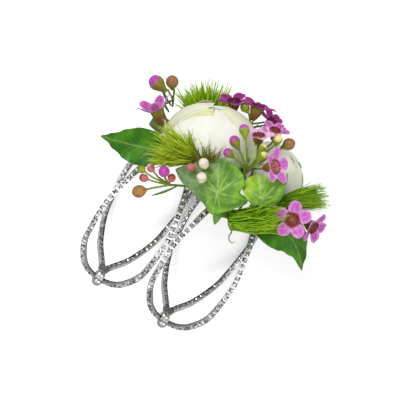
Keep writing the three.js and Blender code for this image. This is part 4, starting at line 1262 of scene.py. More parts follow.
@dataclass
class WaxBlossom:
    """An open wax flower: five round petals about a cup with a dark disc, a ring of anthers and a style."""

    node: str
    place: Shares
    facing: Shares
    radius: float
    bed: Shares
    way: tuple[Shares, ...]
    petal: Tint = Tint.PETAL_PINK
    edge: Tint = Tint.PETAL_PALE
    disc: Tint = Tint.DISC_RED
    rim: Tint = Tint.DISC_BROWN
    cone: Tint = Tint.STEM_RED
    slot: str = "pink_petal"
    cup_share: float = 0.38
    calyx_share: float = 0.8
    lift_share: float = 0.22
    turn: float = 0.0
    twig_radius: float = TWIG_RADIUS
    seed: int = 1
    rows: int = 16
    columns: int = 15
    sides: int = 40
    petal_run: Shares = (0.95, 1.06)
    petal_half: float = 0.37
    petal_round: Shares = (1.62, 0.68, 0.92, 0.03)
    dish: float = 0.16
    wave: float = 0.00018
    droop: float = 0.25
    petal_tilt: float = 0.25
    petal_shift: float = 0.06
    petal_thickness: float = 0.0003
    streak: float = 0.12
    ribs: int = 10
    rib_height: float = 0.05
    anthers: int = 10
    anther_size: float = 0.00027
    anther_place: Shares = (0.86, 0.13)
    style_length: float = 0.34
    style_radius: float = 0.00014

    def petals(self) -> Array:
        """Five petals: each is a disc whose rows run out from the cup's rim, as wide as a circle at
        each, which rises by a power of the way out, is dished by the square of the way across, waved a
        little at its edge, and droops near its tip.

        Returns:
            Surfaces, (5, 16, 15, 3), that face +Y.
        """
        rng = np.random.default_rng(self.seed)
        u, v = closer_at_end(self.rows), closer_at_ends(self.columns)
        start, stop = self.cup_share * self.radius * self.petal_run[0], self.radius * self.petal_run[1]
        stretch, middle, flat, least = self.petal_round
        circle = np.sqrt(np.clip(1 - (stretch * u - middle) ** 2 / flat, least, 1))
        half = self.petal_half * self.radius * circle
        wobble = rng.random((5, 1, 1)) * 2 * np.pi
        out = start + (stop - start) * u + 0 * v
        aside = half * v
        rise = self.lift_share * self.radius * (u**1.3) + self.dish * aside**2 / self.radius * 4
        droop = self.droop * self.radius * np.clip(u - 0.7, 0, 1) ** 1.5
        rise = rise + self.wave * np.sin(3 * v + wobble) * u - droop
        tilt = self.petal_tilt * (rng.random((5, 1, 1)) - 0.5)
        rise = rise + tilt * (out - start)
        shift = self.petal_shift * rng.standard_normal((5, 1, 1))
        turn = 2 * np.pi * (np.arange(5)[:, None, None] + shift) / 5
        turn = turn + np.radians(self.turn)
        x = out * np.cos(turn) - aside * np.sin(turn)
        z = out * np.sin(turn) + aside * np.cos(turn)
        return np.stack([x, rise + np.zeros_like(x), z], axis=-1)

    def cup(self) -> tuple[Array, Array]:
        """The cup's profile, from its foot up its ribbed cone, over its rim and down to the disc, and
        its tints.

        Returns:
            The profile, (n, 2), and colours, (n, 3).
        """
        r, cup, depth = self.radius, self.cup_share * self.radius, self.calyx_share * self.radius
        rows = (
            (0.0, -depth, self.cone), (0.30 * cup, -depth, self.cone), (0.55 * cup, -0.75 * depth, self.cone),
            (0.82 * cup, -0.45 * depth, self.cone), (1.02 * cup, -0.12 * depth, Tint.BUD_OLIVE),
            (1.10 * cup, 0.06 * r, self.rim), (1.04 * cup, 0.10 * r, self.rim),
            (0.88 * cup, 0.05 * r, self.disc), (0.66 * cup, -0.01 * r, self.disc),
            (0.35 * cup, -0.03 * r, self.disc), (0.14 * cup, 0.0, Tint.BUD_OLIVE),
            (0.0, 0.01 * r, Tint.BUD_OLIVE),
        )
        return np.array([row[:2] for row in rows]), np.stack([row[2].linear for row in rows])

    def beads(self) -> Array:
        """The anthers: small round beads in a ring about +Y.

        Returns:
            Grids, (anthers, 6, 7, 3).
        """
        reach = self.anther_place[0] * (self.cup_share * self.radius)
        level = self.anther_place[1] * self.radius
        turns = around(self.anthers)
        ball = revolved(self.anther_size * half_circle(6), 7)
        x, z = reach * np.cos(turns), reach * np.sin(turns)
        middle = np.stack([x, np.full(self.anthers, level), z], axis=-1)
        return ball + middle[:, None, None]

    def build(self) -> None:
        """Builds the blossom and its stalk as one piece. The petals pale towards their edges and their
        feet, with streaks; the outside of the cone is ribbed."""
        matrix = seat(SPRAY.spot(self.place), self.facing)
        parts = Patchwork()
        u = closer_at_end(self.rows) + np.zeros(self.columns)
        v = np.abs(closer_at_ends(self.columns)) + np.zeros((self.rows, 1))
        streak = self.streak * np.sin(9 * v + 3 * u)
        pale = v**4 * 0.55 + u**4 * 0.4 + 0.7 * (1 - u) ** 4 + streak
        tint = mix(self.petal.linear, self.edge.linear, pale)
        tint = mix(self.disc.linear, tint, 0.4 + 5 * u)
        parts.add(moved(shell(self.petals(), self.petal_thickness), matrix), both_sides(tint))
        profile, colours = self.cup()
        smooth = revolved(profile, self.sides)
        ribs = 1 + self.rib_height * np.cos(self.ribs * around(self.sides))
        cone = ((profile[:, 1] < 0) & (np.arange(len(profile)) < 5))[:, None, None]
        parts.add(moved(np.where(cone, ribbed(smooth, ribs), smooth), matrix), colours[:, None])
        parts.add(moved(self.beads(), matrix), Tint.PETAL_DEEP.linear)
        style = np.linspace(0, self.style_length, 6)[:, None] * self.radius * np.array([0.0, 1.0, 0.0])
        parts.add(moved(tube(style, self.style_radius, 7), matrix), Tint.BUD_RED.linear)
        self.stalk(parts)
        plant(parts, "petals", WAX_PETAL, self.slot, self.node)

    def stalk(self, parts: Patchwork) -> None:
        """Adds the stalk from the pad to the foot of the cone.

        Args:
            parts: The mesh in the making.
        """
        place, ahead = SPRAY.spot(self.place), unit(np.array(self.facing))
        depth = self.calyx_share * self.radius
        foot = place - ahead * depth
        ends = np.stack([foot - ahead * depth / 2, foot + ahead * depth / 3])
        way = np.concatenate([SPRAY.stalk(self.bed, self.way, self.twig_radius), ends])
        parts.stem(way, self.twig_radius)


@dataclass
class IvyLeaf:
    """A lobed ivy leaf on its stalk, with pale veins that run from the stalk to each lobe."""

    node: str
    place: Shares
    ahead: Shares
    facing: Shares
    span: float
    dish: float
    lobes: tuple[Shares, ...]
    bed: Shares
    way: tuple[Shares, ...]
    veins: Shares
    tendril: tuple[Shares, ...] = ()
    dark: Tint = Tint.IVY_DARK
    light: Tint = Tint.IVY_LIGHT
    side_tint: Tint = Tint.IVY_LIGHT
    side_tint_turn: float = 0.0
    rows: int = 34
    turns: int = 216
    stem_radius: float = STEM_RADIUS
    seed: int = 5
    vein_width: float = 0.00012
    branch_pitch: float = 0.0024
    branch_light: float = 0.16
    edge_wave: float = 0.035
    pucker: float = 0.0004
    pucker_reach: float = 0.002
    half_thickness: float = 0.00018
    back_shade: float = 0.8
    tendril_steps: int = 40
    tendril_radii: Shares = (0.00035, 0.00012)

    def outline(self, degrees: Array) -> Array:
        """The leaf's reach at each angle: a curve through the lobe table, closed round the turn.

        Args:
            degrees: Angles from the leaf's tip.

        Returns:
            Distances from the stalk.
        """
        first = self.lobes[0]
        table = (*self.lobes, (first[0] + 360, first[1]))
        return smooth_table(table, degrees % 360) * self.span

    def build(self) -> None:
        """Builds the blade, whose height falls with the square of the distance from the stalk and
        puckers between veins, and the stalk. A vein is a bell curve of the distance from its line."""
        up = unit(np.array(self.facing))
        across = unit(np.cross(np.array(self.ahead), up))
        forward = np.cross(up, across)
        place = SPRAY.spot(self.place)
        degrees = np.linspace(0, 360, self.turns, endpoint=False)
        share = np.linspace(0, 1, self.rows)[:, None]
        reach = share * self.outline(degrees)
        angle = np.radians(degrees)
        gaps = np.abs(wrapped(degrees[:, None] - np.array(self.veins))).min(axis=1)
        aside = reach * np.sin(np.radians(np.minimum(gaps, 90)))
        vein_width = self.vein_width + self.vein_width * (1 - share)
        vein = np.exp(-((aside / vein_width) ** 2)) * np.clip(0.9 - 0.7 * share, 0, 0.6)
        rng = np.random.default_rng(self.seed)
        wave = self.edge_wave * self.span * share**2 * np.sin(7 * angle + rng.random() * 6)
        pucker = self.pucker * np.clip(aside / self.pucker_reach, 0, 1) * share
        fall = -self.dish * self.span * (reach / self.span) ** 2 + wave + pucker
        surface = (
            place + forward * (reach * np.cos(angle))[..., None] + across * (reach * np.sin(angle))[..., None]
            + up * fall[..., None]
        )
        branch = np.abs(np.sin((reach / self.branch_pitch + 0.5 * gaps / 12) * np.pi)) ** 14
        branch = branch * np.clip(aside / 0.001, 0, 1)
        shade = 0.5 + 0.5 * np.sin(3 * angle + 9 * share) * share
        tint = mix(self.dark.linear, self.light.linear, shade)
        # The blade takes the side tint towards one side; on the centre leaf this grey is partly the lobe's
        # own tone and partly painted sheen.
        lean = np.clip(np.cos(angle - np.radians(self.side_tint_turn)), 0, 1) ** 2 * share
        tint = tint * (1 - lean[..., None]) + self.side_tint.linear * lean[..., None]
        tint = tint * (1 - vein[..., None]) + Tint.VEIN_PALE.linear * vein[..., None]
        tint = mix(tint, Tint.VEIN_PALE.linear, self.branch_light * branch * (1 - vein))
        parts = Patchwork()
        thick = self.half_thickness * np.sin(np.pi * np.clip(1.02 - share, 0, 1) / 2) ** SHELL_EDGE_POWER
        closed = np.concatenate([surface - up * thick[..., None], (surface + up * thick[..., None])[::-1]])
        parts.add(closed, np.concatenate([tint * self.back_shade, tint[::-1]]), wrap_u=True)
        way = np.concatenate([SPRAY.stalk(self.bed, self.way, self.stem_radius), place[None]])
        parts.stem(way, self.stem_radius)
        if self.tendril:
            curl = np.linspace(*self.tendril_radii, self.tendril_steps)
            parts.stem(SPRAY.spot(self.tendril), curl, self.tendril_steps, 6)
        plant(parts, "blade", IVY_SKIN, "ivy_leaf", self.node)


@dataclass
class SalalLeaf:
    """A pointed salal leaf: folded along its midrib, waved at its edges, with side veins."""

    node: str
    base: Shares
    bend: Shares
    tip: Shares
    facing: Shares
    width: float
    fold: float
    bed: Shares
    way: tuple[Shares, ...]
    rows: int = 110
    columns: int = 49
    stem_radius: float = STEM_RADIUS
    width_shares: tuple[Shares, ...] = (
        (0.0, 0.12), (0.143, 0.62), (0.286, 0.95), (0.429, 1.0), (0.571, 0.86), (0.714, 0.58), (0.857, 0.28),
        (1.0, 0.03),
    )
    vein_pitch: float = 0.085
    seed: int = 2
    vein_slant: float = 0.22
    vein_width: float = 0.09
    vein_light: float = 0.16
    midrib_width: float = 0.00035
    midrib_depth: float = 0.0002
    midrib_light: float = 0.45
    edge_wave: float = 0.0006
    quilt: float = 0.00022
    thickness: float = 0.0004
    stalk_inside: float = 0.15

    def build(self) -> None:
        """Builds the blade and its stalk. The midrib is a bent line set by base, bend and tip. Side veins
        are where the run along the leaf, less a share of the way out, is a whole number of pitches. The
        blade folds up by a power of the way out, waves at its edges and is quilted between veins."""
        base, bend, tip = (SPRAY.spot(each) for each in (self.base, self.bend, self.tip))
        u = np.linspace(0, 1, self.rows)[:, None]
        v = np.linspace(-1, 1, self.columns)
        rib = (1 - u) ** 2 * base + 2 * u * (1 - u) * bend + u**2 * tip
        ahead = unit(2 * (1 - u) * (bend - base) + 2 * u * (tip - bend))
        across = unit(np.cross(ahead, np.array(self.facing)))
        up = np.cross(across, ahead)
        half = smooth_table(self.width_shares, u) * self.width / 2
        rng = np.random.default_rng(self.seed)
        phase = rng.random() * 6
        aside = np.abs(v)
        run = (u - self.vein_slant * aside) / self.vein_pitch
        side_vein = np.exp(-(((run - np.round(run)) / self.vein_width) ** 2)) * np.clip(1.1 - aside, 0, 1)
        midrib = np.exp(-((half * v / self.midrib_width) ** 2))
        wave = self.edge_wave * np.sin(11 * u * np.pi + phase + 2 * np.sign(v)) * aside**3
        quilt = self.quilt * np.abs(np.sin(np.pi * run)) * np.clip(aside * 4, 0, 1) * (1 - aside)
        rise = self.fold * half * aside**1.5 + wave + quilt - self.midrib_depth * midrib
        surface = rib[:, None] + across[:, None] * (half * v)[..., None] + up[:, None] * rise[..., None]
        # Mottled by a sine along the leaf, and lighter towards its edge at +v.
        mottled = 0.45 + 0.35 * np.sin(5 * u * np.pi + 3 * v + phase) + 0.2 * v
        tint = mix(Tint.SALAL_DARK.linear, Tint.SALAL_LIGHT.linear, mottled)
        tint = mix(tint, Tint.IVY_LIGHT.linear, self.vein_light * side_vein)
        tint = mix(tint, Tint.VEIN_PALE.linear, self.midrib_light * midrib)
        parts = Patchwork()
        parts.add(shell(surface, self.thickness), both_sides(tint))
        inside = base + self.stalk_inside * (bend - base)
        way = np.concatenate([SPRAY.stalk(self.bed, self.way, self.stem_radius), [base, inside]])
        parts.stem(way, self.stem_radius)
        plant(parts, "blade", SALAL_SKIN, "salal_leaf", self.node)


@dataclass(frozen=True)
class FanPlan:
    """One fan of strands: where its head is, where it points, and its strands' measures."""

    place: Shares
    facing: Shares
    length: float
    reach: float
    spread: float
    count: int
    bend: Shares = (0, 0, 0)
    thickness: float = 0.0002
    loose: float = 0.08
    crimp: float = 0.0003
    ragged: float = 0.0
    low: Tint = Tint.TUFT_DEEP
    high: Tint = Tint.TUFT_LIME


@dataclass
class GrassTuft:
    """A tuft of fine green strands that spread from a head on a short stem."""

    node: str
    bed: Shares
    way: tuple[Shares, ...]
    fans: tuple[FanPlan, ...]
    stem_radius: float = STEM_RADIUS
    head_depth: float = 0.0024
    seed: int = 8
    steps: int = 12
    lock_size: int = 9
    stray: float = 0.35
    shortest: float = 0.62
    thinned: float = 0.8
    pale_root: float = 0.15
    head_shares: tuple[Shares, ...] = ((0.0, -1.0), (0.35, -0.7))

    def strands(self, plan: FanPlan, rng: np.random.Generator) -> tuple[Array, Array]:
        """Strands of one fan. All point away from one centre behind the head, each with its own tilt,
        turn and length. They gather in locks, bend to one side by the square of the way along, are
        crimped by a slow wave, and thin towards their tips by the square of the way along.

        Args:
            plan: The fan's measures.
            rng: Random numbers for the strands.

        Returns:
            Grids, (count, 14, 3, 3), and tints to match.
        """
        count, locks = plan.count, plan.count // self.lock_size
        tilt = plan.spread * np.sqrt(rng.random(count))
        turn = 2 * np.pi * rng.random(count)
        x, z = np.sin(tilt) * np.cos(turn), np.sin(tilt) * np.sin(turn)
        direction = np.stack([x, np.cos(tilt), z], axis=-1)
        ragged = plan.reach + plan.ragged * plan.length * (rng.random((count, 1)) - 0.7)
        root = direction * ragged - np.array([0, plan.reach, 0])
        lock = rng.integers(0, max(locks, 1), count)
        stray = rng.standard_normal((count, 3)) * self.stray + rng.standard_normal((locks + 1, 3))[lock]
        length = self.shortest + (1 - self.shortest) * rng.random(count) ** 0.7
        length = plan.length * length[:, None, None]
        along = np.linspace(0, 1, self.steps)[:, None]
        sway = (plan.loose * stray)[:, None] * length * along**1.6
        phase = 6 * rng.random((locks + 1, 1, 1))[lock]
        crimp = unit(rng.standard_normal((count, 1, 3))) * plan.crimp * np.sin(8 * along + phase) * along
        local = root[:, None] + direction[:, None] * along * length + sway + crimp
        placed = moved(local, seat(SPRAY.spot(plan.place), plan.facing))
        placed = placed + np.array(plan.bend) * plan.length * along**2
        taper = plan.thickness * (1 - self.thinned * along[:, 0] ** 2) * (0.75 + 0.5 * rng.random((count, 1)))
        shade = rng.random((locks + 1, 1))[lock] * 0.5 + rng.random((count, 1)) * 0.3
        tint = mix(plan.low.linear, plan.high.linear, self.pale_root + shade * (0.5 + along[:, 0]))
        return tube(placed, taper, 3), ended(tint, 1)[:, :, None]

    def build(self) -> None:
        """Builds the tuft: its stem, a head for each fan, and the strands."""
        rng = np.random.default_rng(self.seed)
        parts = Patchwork()
        way = SPRAY.stalk(self.bed, self.way, self.stem_radius)
        parts.stem(way, self.stem_radius, 24)
        for plan in self.fans:
            place = SPRAY.spot(plan.place)
            inside = place - unit(np.array(plan.facing)) * self.head_depth / 2
            side_stem = np.stack([way[-1], (way[-1] + inside) / 2, inside])
            parts.add(tube(side_stem, self.stem_radius, 8), Tint.STEM_GREEN.linear)
            wide = plan.reach * np.sin(plan.spread)
            below = np.array(self.head_shares) * np.array([wide, self.head_depth])
            profile = np.concatenate([below, np.array([[1, -0.2], [0.8, 0], [0, 0.1]]) * wide])
            head = moved(revolved(profile, 16), seat(place, plan.facing))
            parts.add(head, plan.low.linear)
            grid, tint = self.strands(plan, rng)
            parts.add(grid, tint)
        plant(parts, "strands", TUFT_SKIN, "tuft", self.node)


@dataclass
class Studio:
    """The camera of the photograph, plain soft light, a pale floor and a white surround."""

    scale: float = 2700.0
    picture: float = 400.0
    right: Shares = (0.8383, 0.5253, -0.1459)
    toward: Shares = (-0.0317, 0.3141, 0.9488)
    distance: float = 1.116
    ring_pixel: tuple[float, float] = (175.138, 231.576)
    sensor: float = 36.0
    world_light: float = 0.5
    horizon_light: float = 0.42
    floor_gain: float = 1.45
    floor_white: float = 0.3
    floor_mirrored: float = 0.5
    floor_half: float = 3.0
    floor_lit: float = 0.85
    overhead_light: float = 1.1
    horizon_band: Shares = (0.6, 0.96)
    key: tuple[Shares, float, float] = ((-0.45, 0.55, 0.9), 0.5, 7.0)
    fill: tuple[Shares, float, float] = ((0.95, -0.1, 0.75), 0.8, 4.5)

    def camera(self) -> None:
        """Places the camera along the fitted direction and aims it at the picture's middle."""
        toward, right = unit(np.array(self.toward)), unit(np.array(self.right))
        up = np.cross(toward, right)
        aside = (self.picture / 2 - self.ring_pixel[0]) / self.scale
        above = (self.ring_pixel[1] - self.picture / 2) / self.scale
        aim = SPRAY.ring + right * aside + up * above
        eye = SPRAY.ring + toward * self.distance
        back = unit(eye - aim)
        level = unit(right - back * (right @ back))
        turned = np.stack([level, np.cross(back, level), back], axis=1)
        data = bpy.data.cameras.new("view")
        data.sensor_width = self.sensor
        data.lens = self.sensor * self.distance * self.scale / self.picture
        view = bpy.data.objects.new("view", data)
        view.matrix_world = Matrix.Translation(Vector(eye)) @ Matrix(turned.tolist()).to_4x4()
        bpy.context.scene.collection.objects.link(view)
        bpy.context.scene.camera = view

    def lamp(self, name: str, place: Shares, size: float, power: float) -> None:
        """Adds a square area lamp that points at the cuff's middle.

        Args:
            name: The lamp's name.
            place: Where it is, in metres.
            size: Its side, in metres.
            power: Its power, in watts.
        """
        data = bpy.data.lights.new(name, "AREA")
        data.size = size
        data.energy = power
        lamp = bpy.data.objects.new(name, data)
        lamp.location = place
        aim = Vector(SPRAY.ring) - Vector(place)
        lamp.rotation_euler = aim.to_track_quat("-Z", "Y").to_euler()
        bpy.context.scene.collection.objects.link(lamp)

    def surround(self) -> None:
        """Makes the world: plain white to the camera, even pale light for lighting, and for reflections
        white overhead that darkens to a grey horizon."""
        world = bpy.data.worlds.new("surround")
        bpy.context.scene.world = world
        nodes = NodeTree(world)
        background = nodes.tree.nodes["Background"]
        background.inputs["Color"].default_value = (1, 1, 1, 1)
        split = nodes.add("ShaderNodeSeparateXYZ")
        nodes.link(nodes.add("ShaderNodeTexCoord").outputs["Generated"], split.inputs["Vector"])
        light = (self.horizon_light, self.overhead_light)
        mirrored = nodes.ranged(split.outputs["Z"], light, self.horizon_band)
        choice = nodes.in_mirrors(nodes.by_camera(self.world_light, 1.0))
        nodes.link(mirrored, choice.inputs["B"])
        nodes.link(choice.outputs["Result"], background.inputs["Strength"])

    def floor(self) -> None:
        """Lays a pale floor under the cuff. The camera sees its shading raised towards white."""
        half = self.floor_half
        mesh = bpy.data.meshes.new("floor")
        corners = [(-half, -half, 0), (half, -half, 0), (half, half, 0), (-half, half, 0)]
        mesh.from_pydata(corners, [], [(0, 1, 2, 3)])
        material = bpy.data.materials.new("pale_floor")
        nodes = NodeTree(material)
        nodes.tree.nodes.remove(nodes.shader)
        dull = nodes.add("ShaderNodeBsdfDiffuse")
        seen = nodes.in_mirrors(nodes.by_camera(self.floor_lit, self.floor_gain))
        seen.inputs["B"].default_value = self.floor_mirrored
        nodes.link(seen.outputs["Result"], dull.inputs["Color"])
        blend = nodes.add("ShaderNodeMixShader")
        nodes.link(nodes.by_camera(0, self.floor_white), blend.inputs["Fac"])
        nodes.link(dull.outputs[0], blend.inputs[1])
        nodes.link(nodes.add("ShaderNodeEmission").outputs[0], blend.inputs[2])
        nodes.link(blend.outputs[0], nodes.tree.nodes["Material Output"].inputs["Surface"])
        mesh.materials.append(material)
        floor = bpy.data.objects.new("floor", mesh)
        bpy.context.scene.collection.objects.link(floor)

    def build(self) -> None:
        """Sets up the camera, the light and the ground."""
        bpy.context.scene.view_settings.view_transform = "Standard"
        self.camera()
        self.surround()
        self.floor()
        self.lamp("key", *self.key)
        self.lamp("fill", *self.fill)


BLOOMS = (
    Ranunculus(
        "main_bloom", (-0.17, 0.25, 0.236), (-0.42, 0.88, 0.1), 0.0176, 0.0126, 80.0,
        (
            ("outer_petals", (
                PetalPlan(2, 18, 57, -0.5, 0.0002, 0.12, 0.16), PetalPlan(166, 15, 24, 0.0, 0.0004, 0.3, 0.5),
                PetalPlan(84, 24, 66, 0.05, 0.0012, 0.4, 0.4), PetalPlan(-96, 52, 12, 0.5, 0.0, 0.5, 0.15),
                PetalPlan(-165, 32, 62, 0.4, 0.0, 0.3),
            )),
            ("middle_petals", (
                PetalPlan(4, 56, 25, 0.05, bow=0.5), PetalPlan(126, 56, -3, 0.4, 0.0, 0.4, 0.35),
                PetalPlan(-44, 46, 2, 0.62, 0.0, 0.1, 0.26), PetalPlan(84, 38, 8, 0.75, 0.0, 0.1, 0.3),
                PetalPlan(32, 60, 5, 0.98, 0.0, 1.0, 0.2), PetalPlan(-128, 40, 30, 0.8, 0.0, 0.5, 0.3),
                PetalPlan(10, 84, 0, 1.2, 0.0, 0.7, 0.2), PetalPlan(-170, 84, -6, 1.1, 0.0, 0.3, 0.15),
            )),
            ("inner_petals", petal_spiral(5, 84, (36, 24), (1.9, 2.4), 60, 0.4)),
        ),
        petal_spiral(6, 86, (20, 5), (2.5, 3.1), 20, 0.5), 0.6, short=0.8,
    ),
    Ranunculus(
        "second_bloom", (0.38, 0.28, 0.194), (0.42, 0.87, 0.2), 0.0125, 0.01, 106.0,
        (
            ("outer_petals", (
                PetalPlan(-20, 56, 32, 0.0), PetalPlan(-84, 40, 40, 0.2, 0.0, 0.15, 0.5),
                PetalPlan(60, 50, 34, 0.12), PetalPlan(140, 54, 10, 0.25, 0.0, 0.1, 0.25),
                PetalPlan(-150, 46, 26, 0.35, 0.0, 0.1, 0.4),
            )),
            ("inner_petals", (
                PetalPlan(40, 60, 12, 0.5, 0.0, 0.1, 0.2), PetalPlan(176, 60, -4, 0.5, 0.0, 0.1, 0.2),
                PetalPlan(-100, 60, 8, 0.6, 0.0, 0.2, 0.2), PetalPlan(-30, 60, -6, 0.7, 0.0, 0.3, 0.2),
            )),
        ),
        petal_spiral(5, 84, (-6, 2), (0.75, 1.3), 20, 0.3), 0.1, seed=11, ruffle=1.2, heart_green=0.1,
    ),
)

CALYXES = (Calyx("main_bloom_calyx", (-0.18, 0, 0), 1), Calyx("second_bloom_calyx", (0.34, 0, 0), 0.85))

SPRIGS = (
    WaxSprig(
        "waxflower_sprig_upper_left", (-0.72, 0.35), ((-0.6, 0.14, -0.05), (-0.57, 0.33, 0.05)),
        (
            BudPlan((-0.731, 0.475, 0.293), 1.62, Tint.BUD_OLIVE, Tint.BUD_PURPLE, (-0.96, 0.2, 0.12)),
            BudPlan((-0.646, 0.543, 0.194), 1.38, Tint.BUD_OLIVE, Tint.BUD_BROWN, (-0.35, 0.72, 0.59)),
        ),
        ((-0.58, 0.26, 0.01, -0.7, 0.36, 0.0), (-0.55, 0.22, -0.05, -0.68, 0.291, -0.108),
         (-0.54, 0.2, -0.1, -0.599, 0.346, -0.172), (-0.54, 0.16, 0.0, -0.638, 0.23, -0.037)),
    ),
    WaxSprig(
        "waxflower_sprig_left", (-0.22, 0.7),
        ((-0.15, 0.035, 0.26), (-0.13, -0.02, 0.4), (-0.11, -0.14, 0.7), (-0.25, -0.22, 0.88)),
        (
            BudPlan((-0.434, -0.303, 0.903), 0.9, Tint.BUD_ROSE, Tint.BUD_RED),
            BudPlan((-0.409, -0.444, 0.936), 1.35, Tint.BUD_ORANGE, Tint.BUD_ORANGE),
            BudPlan((-0.339, -0.1, 0.943), 1.2, Tint.BUD_ROSE, Tint.BUD_PURPLE, (-0.2, 0.4, 0.9)),
            BudPlan((-0.267, -0.13, 0.92), 0.85, Tint.BUD_ROSE, Tint.BUD_RED),
            BudPlan((-0.485, -0.245, 0.878), 0.85, Tint.BUD_GREEN, Tint.BUD_OLIVE),
            BudPlan((-0.431, -0.183, 0.864), 0.85, Tint.BUD_ROSE, Tint.PETAL_PALE),
        ),
        ((-0.2, -0.2, 0.85, -0.32, -0.44, 0.88), (-0.115, -0.15, 0.72, -0.2, -0.06, 0.84)), plump=True,
    ),
    WaxSprig(
        "waxflower_sprig_middle", (0.2, 0.75), ((0.16, 0.05, 0.3), (0.17, 0.14, 0.5), (0.181, 0.321, 0.683)),
        (
            BudPlan((-0.01, 0.44, 0.82), 1.0, Tint.BUD_OLIVE, Tint.BUD_PURPLE),
            BudPlan((-0.015, 0.56, 0.744), 1.15, Tint.BUD_OLIVE, Tint.BUD_PURPLE),
            BudPlan((-0.003, 0.698, 0.664), 1.15, Tint.BUD_GREEN, Tint.PETAL_PINK),
            BudPlan((0.18, 0.64, 0.66), 0.88, Tint.BUD_GREEN, Tint.BUD_LEMON),
            BudPlan((0.212, 0.585, 0.729), 0.95, Tint.BUD_GREEN, Tint.BUD_LEMON),
            BudPlan((0.244, 0.757, 0.493), 1.1, Tint.BUD_GREEN, Tint.BUD_LEMON, (-0.25, 0.85, 0.46)),
            BudPlan((0.333, 0.75, 0.4), 1.3, Tint.BUD_OLIVE, Tint.BUD_BROWN, (0.35, 0.8, 0.48)),
        ),
        ((0.178, 0.364, 0.645, 0.132, 0.628, 0.573), (0.161, 0.33, 0.654, 0.062, 0.544, 0.567),
         (0.132, 0.321, 0.655, -0.001, 0.438, 0.618), (0.181, 0.377, 0.668, 0.259, 0.506, 0.637)),
        blade=Tint.VEIN_PALE,
    ),
    WaxSprig(
        "waxflower_sprig_top_right", (0.12, -0.75), ((0.06, 0.2, -0.22), (0.03, 0.5, -0.2)),
        (
            BudPlan((-0.07, 0.66, -0.1), 1.06, Tint.BUD_LIME, Tint.BUD_LIME),
            BudPlan((0.2, 0.66, -0.15), 0.88, Tint.BUD_RED, Tint.BUD_OLIVE),
        ),
        ((0.06, 0.5, -0.1, 0.07, 0.69, 0.2), (0.05, 0.52, -0.1, 0.12, 0.71, 0.12),
         (0.04, 0.5, -0.12, 0.1, 0.66, 0.24)),
    ),
    WaxSprig(
        "waxflower_sprig_right", (0.8, 0.1), ((0.62, 0.06, 0.3), (0.66, 0.1, 0.48)),
        (BudPlan((0.76, 0.04, 0.58), 0.65, Tint.BUD_OLIVE, Tint.BUD_RED),),
    ),
    WaxSprig(
        "pale_bud_sprig", (-0.1, 0.85),
        ((-0.06, 0.04, 0.28), (-0.05, 0.0, 0.58), (-0.04, 0.14, 0.78), (-0.06, 0.2, 0.9)),
        (
            BudPlan((-0.187, 0.133, 0.98), 0.85, Tint.BUD_ROSE, Tint.BUD_ROSE),
            BudPlan((-0.123, 0.236, 0.976), 1.12, Tint.BUD_WHITE, Tint.BUD_BLUSH, (-0.62, 0.62, 0.42)),
            BudPlan((-0.082, 0.108, 1.034), 1.12, Tint.BUD_WHITE, Tint.BUD_BLUSH, (-0.45, 0.72, 0.5)),
        ),
        slot="pale_bud", plump=True,
    ),
)

DARK = {
    "petal": Tint.PETAL_MAGENTA, "edge": Tint.BUD_PURPLE, "slot": "magenta_petal",
    "disc": Tint.PETAL_DEEP, "rim": Tint.PETAL_DEEP,
}
BLOSSOMS = (
    WaxBlossom("blossom_upper_left", (-0.635, 0.243, 0.4), (-0.8, 0.6, 0.05), 0.006, (-0.8, 0.6),
               ((-0.62, 0.06, 0.3),), petal=Tint.BUD_PURPLE, lift_share=0.7, calyx_share=1.0, seed=1),
    WaxBlossom("blossom_top_left", (-0.173, 0.661, -0.084), (-0.47, 0.88, 0.08), 0.006, (-0.02, -0.8),
               ((-0.08, 0.3, -0.3),), seed=2, **DARK),
    WaxBlossom("blossom_top_middle", (0.0, 0.79, 0.02), (-0.2, 0.96, -0.11), 0.0065, (0.06, -0.8),
               ((0.03, 0.3, -0.28),), seed=3, **DARK),
    WaxBlossom("blossom_top_right", (0.16, 0.72, -0.03), (0.18, 0.96, 0.06), 0.006, (0.2, -0.8),
               ((0.12, 0.3, -0.24),), seed=4, **DARK),
    WaxBlossom("blossom_middle", (0.109, 0.699, 0.541), (-0.46, 0.86, 0.12), 0.0055, (0.32, 0.8),
               ((0.24, 0.05, 0.34), (0.22, 0.3, 0.5)), petal=Tint.PETAL_PALE, seed=5),
    WaxBlossom("blossom_middle_right", (0.195, 0.804, 0.395), (-0.24, 0.92, 0.21), 0.005, (0.26, -0.2),
               ((0.17, 0.35, 0.14),), petal=Tint.BUD_PURPLE, seed=6),
    WaxBlossom("blossom_right", (0.329, 0.58, 0.754), (0.6, 0.69, 0.42), 0.0064, (0.28, 0.5),
               ((0.17, 0.25, 0.4),), disc=Tint.BUD_ROSE, seed=7),
    WaxBlossom("blossom_lower_right", (0.66, 0.15, 0.7), (0, 0.3, 0.95), 0.0066, (0.9, 0.35),
               ((0.66, 0.05, 0.28),), turn=28, seed=8),
    WaxBlossom("blossom_far_right", (0.83, 0.15, 0.55), (0.85, 0.1, 0.5), 0.006, (0.92, 0.0),
               ((0.7, 0.06, 0.28),), petal=Tint.BUD_PURPLE, seed=9),
)

